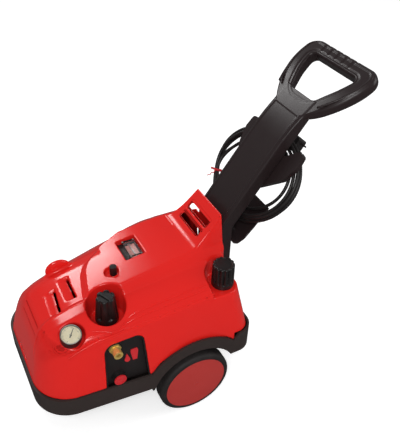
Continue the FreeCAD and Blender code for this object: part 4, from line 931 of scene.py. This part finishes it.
def coil_point(angle):
    """Point of the coil's centre line after an angle, in column axes."""
    turn = min(max(angle / (2 * math.pi), 0), len(TURNS) - 1.001)
    k = int(turn)
    blend = smooth_step(turn - k, 0.0, 0.25)
    phase = angle - math.radians(50)
    off_tie = math.remainder(phase - TIE_ANGLE, 2 * math.pi)
    spread = 1 - 0.7 * math.exp(-(off_tie / 0.45) ** 2)
    turn_size = (a * (1 - blend) + b * blend for a, b in zip(TURNS[k], TURNS[k + 1]))
    wide, high, deep = (mean + (value - mean) * spread for mean, value in zip(MEAN_TURN, turn_size))
    wobble = 1 + 0.014 * math.sin(1.7 * angle) + 0.012 * math.sin(0.63 * angle + 1)
    a = wide * wobble * math.cos(phase)
    b = high * wobble * math.sin(phase)
    return on_column(*on_coil(a, b, deep))


def lead_curve(route, diameter):
    """Smooth curve along the lead's route, as thick as the lead."""
    curve = bpy.data.curves.new("mains_lead", "CURVE")
    curve.dimensions = "3D"
    curve.bevel_depth = diameter / 2
    curve.bevel_resolution = 3
    curve.resolution_u = 5
    spline = curve.splines.new("NURBS")
    spline.points.add(len(route) - 1)
    for point, place_at in zip(spline.points, route):
        point.co = (*place_at, 1)
    spline.order_u = 3
    spline.use_endpoint_u = True
    return curve


def curve_length(curve):
    """Length of a curve's centre line in metres."""
    bare = curve.copy()
    bare.bevel_depth = 0
    line = bpy.data.objects.new("line", bare)
    points = mesh_points(bpy.data.meshes.new_from_object(line))
    bpy.data.objects.remove(line)
    return float(np.linalg.norm(np.diff(points, axis=0), axis=1).sum())


class WASHER_OT_lead(bpy.types.Operator):
    """Mains lead from its strain relief round the coil to the plug"""
    bl_idname = "washer.lead"
    bl_label = "Mains lead"

    def execute(self, context):
        route = [at(*p) for p in LEAD_ROUTE]
        count = int(TURNS_LAID * TURN_POINTS)
        route += [coil_point(2 * math.pi * i / TURN_POINTS) for i in range(1, count)]
        route += [on_column(*p) for p in PLUG_ROUTE]
        curve = lead_curve(route, context.scene.washer_sizes.lead_diameter)
        lead = link(bpy.data.objects.new("mains_lead", curve))
        place(lead, "cable_black", "frame", "cable_lead", "cable_coil")
        length = curve_length(curve)
        print("mains lead length %.3f m" % length)
        [frame["nodes"][n] for n in ("mains_plug", "cable_gland")] + [self.tie()]
        return {"FINISHED"}

    def tie(self):
        """Thin wire tie round the turns, with a twisted end."""
        wide, high, _ = MEAN_TURN
        u, y, n = on_coil(wide * math.cos(TIE_ANGLE), high * math.sin(TIE_ANGLE), 0)
        loop = []
        for i in range(49):
            t = math.radians(200) + 4 * math.pi * i / 48
            out = TIE_OUT * math.cos(t)
            loop.append(on_column(u + 3 * i / 24 - out * 0.35, y + out, n + TIE_DEEP * math.sin(t)))
        for i in range(1, 9):
            loop.append(on_column(u + 4 - 3 * i, y - 14 + 2.5 * math.sin(1.9 * i), n - 14 - 2 * i))
        return place(tube("wire_tie", loop, TIE_R), "mark_red", "frame", "cable_tie")


# ---- Settings ----------------------------------------------------------------------------------
def colour_setting(name, description, code):
    """Colour property with a hex default."""
    return bpy.props.FloatVectorProperty(name=name, description=description, subtype="COLOR", size=3,
                                         min=0, max=1, default=linear(code)[:3])


class WASHER_PG_colours(bpy.types.PropertyGroup):
    """Colours of the mouldings"""
    hood: colour_setting("Hood", "Gloss colour of the hood", "#EA231E")
    covers: colour_setting("Wheel covers", "Duller colour of the wheel covers", "#BE302B")
    tray: colour_setting("Tray", "Dark colour of the tray and fenders", "#39302E")
    handle: colour_setting("Handle", "Dark colour of the handle and its column", "#2B2122")


class WASHER_PG_sizes(bpy.types.PropertyGroup):
    """Sizes and counts of what the scene adds to the frame"""
    skin_pitch: bpy.props.FloatProperty(
        name="Skin pitch", description="Mesh pitch of the hood and the handle",
        default=0.0024, min=0.0015, max=0.006, unit="LENGTH")
    lead_diameter: bpy.props.FloatProperty(
        name="Lead diameter", description="Outer diameter of the mains lead",
        default=0.009, min=0.006, max=0.012, unit="LENGTH")
    scale_ticks: bpy.props.IntProperty(name="Gauge ticks", description="Fine ticks on the gauge's scale",
                                       default=26, min=6, max=51)
    tread_lugs: bpy.props.IntProperty(name="Tread lugs", description="Lugs in each row round a tyre",
                                      default=64, min=24, max=120)


# ---- Operators ---------------------------------------------------------------------------------
class WASHER_OT_finishes(bpy.types.Operator):
    """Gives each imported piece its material"""
    bl_idname = "washer.finishes"
    bl_label = "Finishes"

    def execute(self, context):
        MATERIALS.update(make_materials(context.scene.washer_colours))
        for sub in frame["record"]["subparts"]:
            dress(frame["nodes"][sub["node"]], sub["material_slot"])
        return {"FINISHED"}


# Sky light on the object, and how much less of it a reflection shows.
SKY_LIGHT, SKY_DIMMED = 0.42, 0.22
FLOOR_SIZE, FLOOR_GLOW = 30, 0.5
# Place in metres, size in metres and power in watts of each lamp.
LAMPS = (("Key", (-1.3, -2.2, 2.9), 1.2, 48),
         ("Fill", (2.4, -1.2, 1.9), 1.6, 18),
         ("Back", (-0.5, 2.4, 2.4), 0.8, 26))
LAMP_AIM = Vector((0, 0, 0.3))
# Camera: place about the axle in millimetres, turn, rise and roll in degrees, sensor and lens in mm.
CAMERA_PLACE = (-494.8, -1070.2, 1442.5)
CAMERA_ANGLES = (-29.39, 38.12, 2.52)
SENSOR, LENS = 36, 50.0101382


class WASHER_OT_stage(bpy.types.Operator):
    """Floor, plain soft light and the camera"""
    bl_idname = "washer.stage"
    bl_label = "Stage"

    def execute(self, context):
        context.scene.view_settings.view_transform = "Standard"
        self.sky(context.scene)
        self.floor(context)
        for lamp in LAMPS:
            self.lamp(context, *lamp)
        self.camera(context)
        return {"FINISHED"}

    def sky(self, scene):
        """Soft light from all round, seen white by the camera and through clear pieces."""
        world = bpy.data.worlds.new("Studio")
        scene.world = world
        world.use_nodes = True
        tree = world.node_tree
        tree.nodes.clear()
        path = add(tree, "ShaderNodeLightPath")
        seen = add(tree, "ShaderNodeMath", {},
                   {0: path.outputs["Is Camera Ray"], 1: path.outputs["Is Transmission Ray"]},
                   operation="MAXIMUM")
        dim = add(tree, "ShaderNodeMath", {1: -SKY_DIMMED, 2: SKY_LIGHT}, {0: path.outputs["Is Glossy Ray"]},
                  operation="MULTIPLY_ADD")
        light = add(tree, "ShaderNodeBackground", {"Color": linear("#FFFFFF")}, {"Strength": dim.outputs[0]})
        white = add(tree, "ShaderNodeBackground", {"Color": linear("#FFFFFF"), "Strength": 1.0})
        mixed = add(tree, "ShaderNodeMixShader", {},
                    {0: seen.outputs[0], 1: light.outputs[0], 2: white.outputs[0]})
        add(tree, "ShaderNodeOutputWorld", links={"Surface": mixed.outputs[0]})

    def floor(self, context):
        """White floor that keeps the object's shadow and is darker in reflections."""
        bpy.ops.mesh.primitive_plane_add(size=FLOOR_SIZE)
        plane = context.object
        plane.name = "floor"
        material, tree = new_material("White studio floor")
        path = add(tree, "ShaderNodeLightPath")
        shade = add(tree, "ShaderNodeMix", {6: linear("#F7F7F7"), 7: linear("#6A6A6A")},
                    {0: path.outputs["Is Glossy Ray"]}, data_type="RGBA")
        base = add(tree, "ShaderNodeBsdfDiffuse", {}, {"Color": shade.outputs[2]})
        lift = add(tree, "ShaderNodeMath", {1: FLOOR_GLOW}, {0: path.outputs["Is Camera Ray"]},
                   operation="MULTIPLY")
        glow = add(tree, "ShaderNodeEmission", {"Color": linear("#FFFFFF")}, {"Strength": lift.outputs[0]})
        both = add(tree, "ShaderNodeAddShader", {}, {0: base.outputs[0], 1: glow.outputs[0]})
        finish_material(tree, both)
        plane.data.materials.append(material)

    def lamp(self, context, name, place, size, power):
        """Square lamp that faces the machine."""
        data = bpy.data.lights.new(name, "AREA")
        data.size = size
        data.energy = power
        lamp = bpy.data.objects.new(name, data)
        lamp.location = place
        aim = LAMP_AIM - Vector(place)
        lamp.rotation_euler = aim.to_track_quat("-Z", "Y").to_euler()
        context.scene.collection.objects.link(lamp)

    def camera(self, context):
        """Camera that looks down on the machine from ahead of its near side."""
        azimuth, elevation, roll = (math.radians(v) for v in CAMERA_ANGLES)
        back = Vector((math.sin(azimuth) * math.cos(elevation), -math.cos(azimuth) * math.cos(elevation),
                       math.sin(elevation)))
        right = Vector((math.cos(azimuth), math.sin(azimuth), 0))
        over = back.cross(right)
        across = right * math.cos(roll) + over * math.sin(roll)
        upward = over * math.cos(roll) - right * math.sin(roll)
        data = bpy.data.cameras.new("Camera")
        data.sensor_width = SENSOR
        data.lens = LENS
        camera = bpy.data.objects.new("Camera", data)
        turn = Matrix((across, upward, back)).transposed().to_4x4()
        camera.matrix_world = Matrix.Translation(at(*CAMERA_PLACE)) @ turn
        context.scene.collection.objects.link(camera)
        context.scene.camera = camera


class WASHER_PT_panel(bpy.types.Panel):
    """Sidebar panel with the settings and the steps in order"""
    bl_label = "Pressure washer"
    bl_idname = "WASHER_PT_panel"
    bl_space_type = "VIEW_3D"
    bl_region_type = "UI"
    bl_category = "Washer"

    def draw(self, context):
        for group in (context.scene.washer_sizes, context.scene.washer_colours):
            box = self.layout.box()
            for name in group.__annotations__:
                box.prop(group, name)
        for operator in OPERATORS:
            self.layout.operator(operator.bl_idname)


OPERATORS = [WASHER_OT_finishes, WASHER_OT_hood, WASHER_OT_handle, WASHER_OT_knobs, WASHER_OT_details,
             WASHER_OT_lead, WASHER_OT_stage]
CLASSES = [WASHER_PG_colours, WASHER_PG_sizes, *OPERATORS, WASHER_PT_panel]


def register():
    """Registers the classes and their settings."""
    for cls in CLASSES:
        bpy.utils.register_class(cls)
    bpy.types.Scene.washer_colours = bpy.props.PointerProperty(type=WASHER_PG_colours)
    bpy.types.Scene.washer_sizes = bpy.props.PointerProperty(type=WASHER_PG_sizes)


def unregister():
    """Takes the classes and their settings away."""
    del bpy.types.Scene.washer_sizes
    del bpy.types.Scene.washer_colours
    for cls in reversed(CLASSES):
        bpy.utils.unregister_class(cls)


def main():
    """Builds every piece in order."""
    register()
    for operator in OPERATORS:
        getattr(bpy.ops.washer, operator.bl_idname.split(".")[1])()


if __name__ == "__main__":
    main()
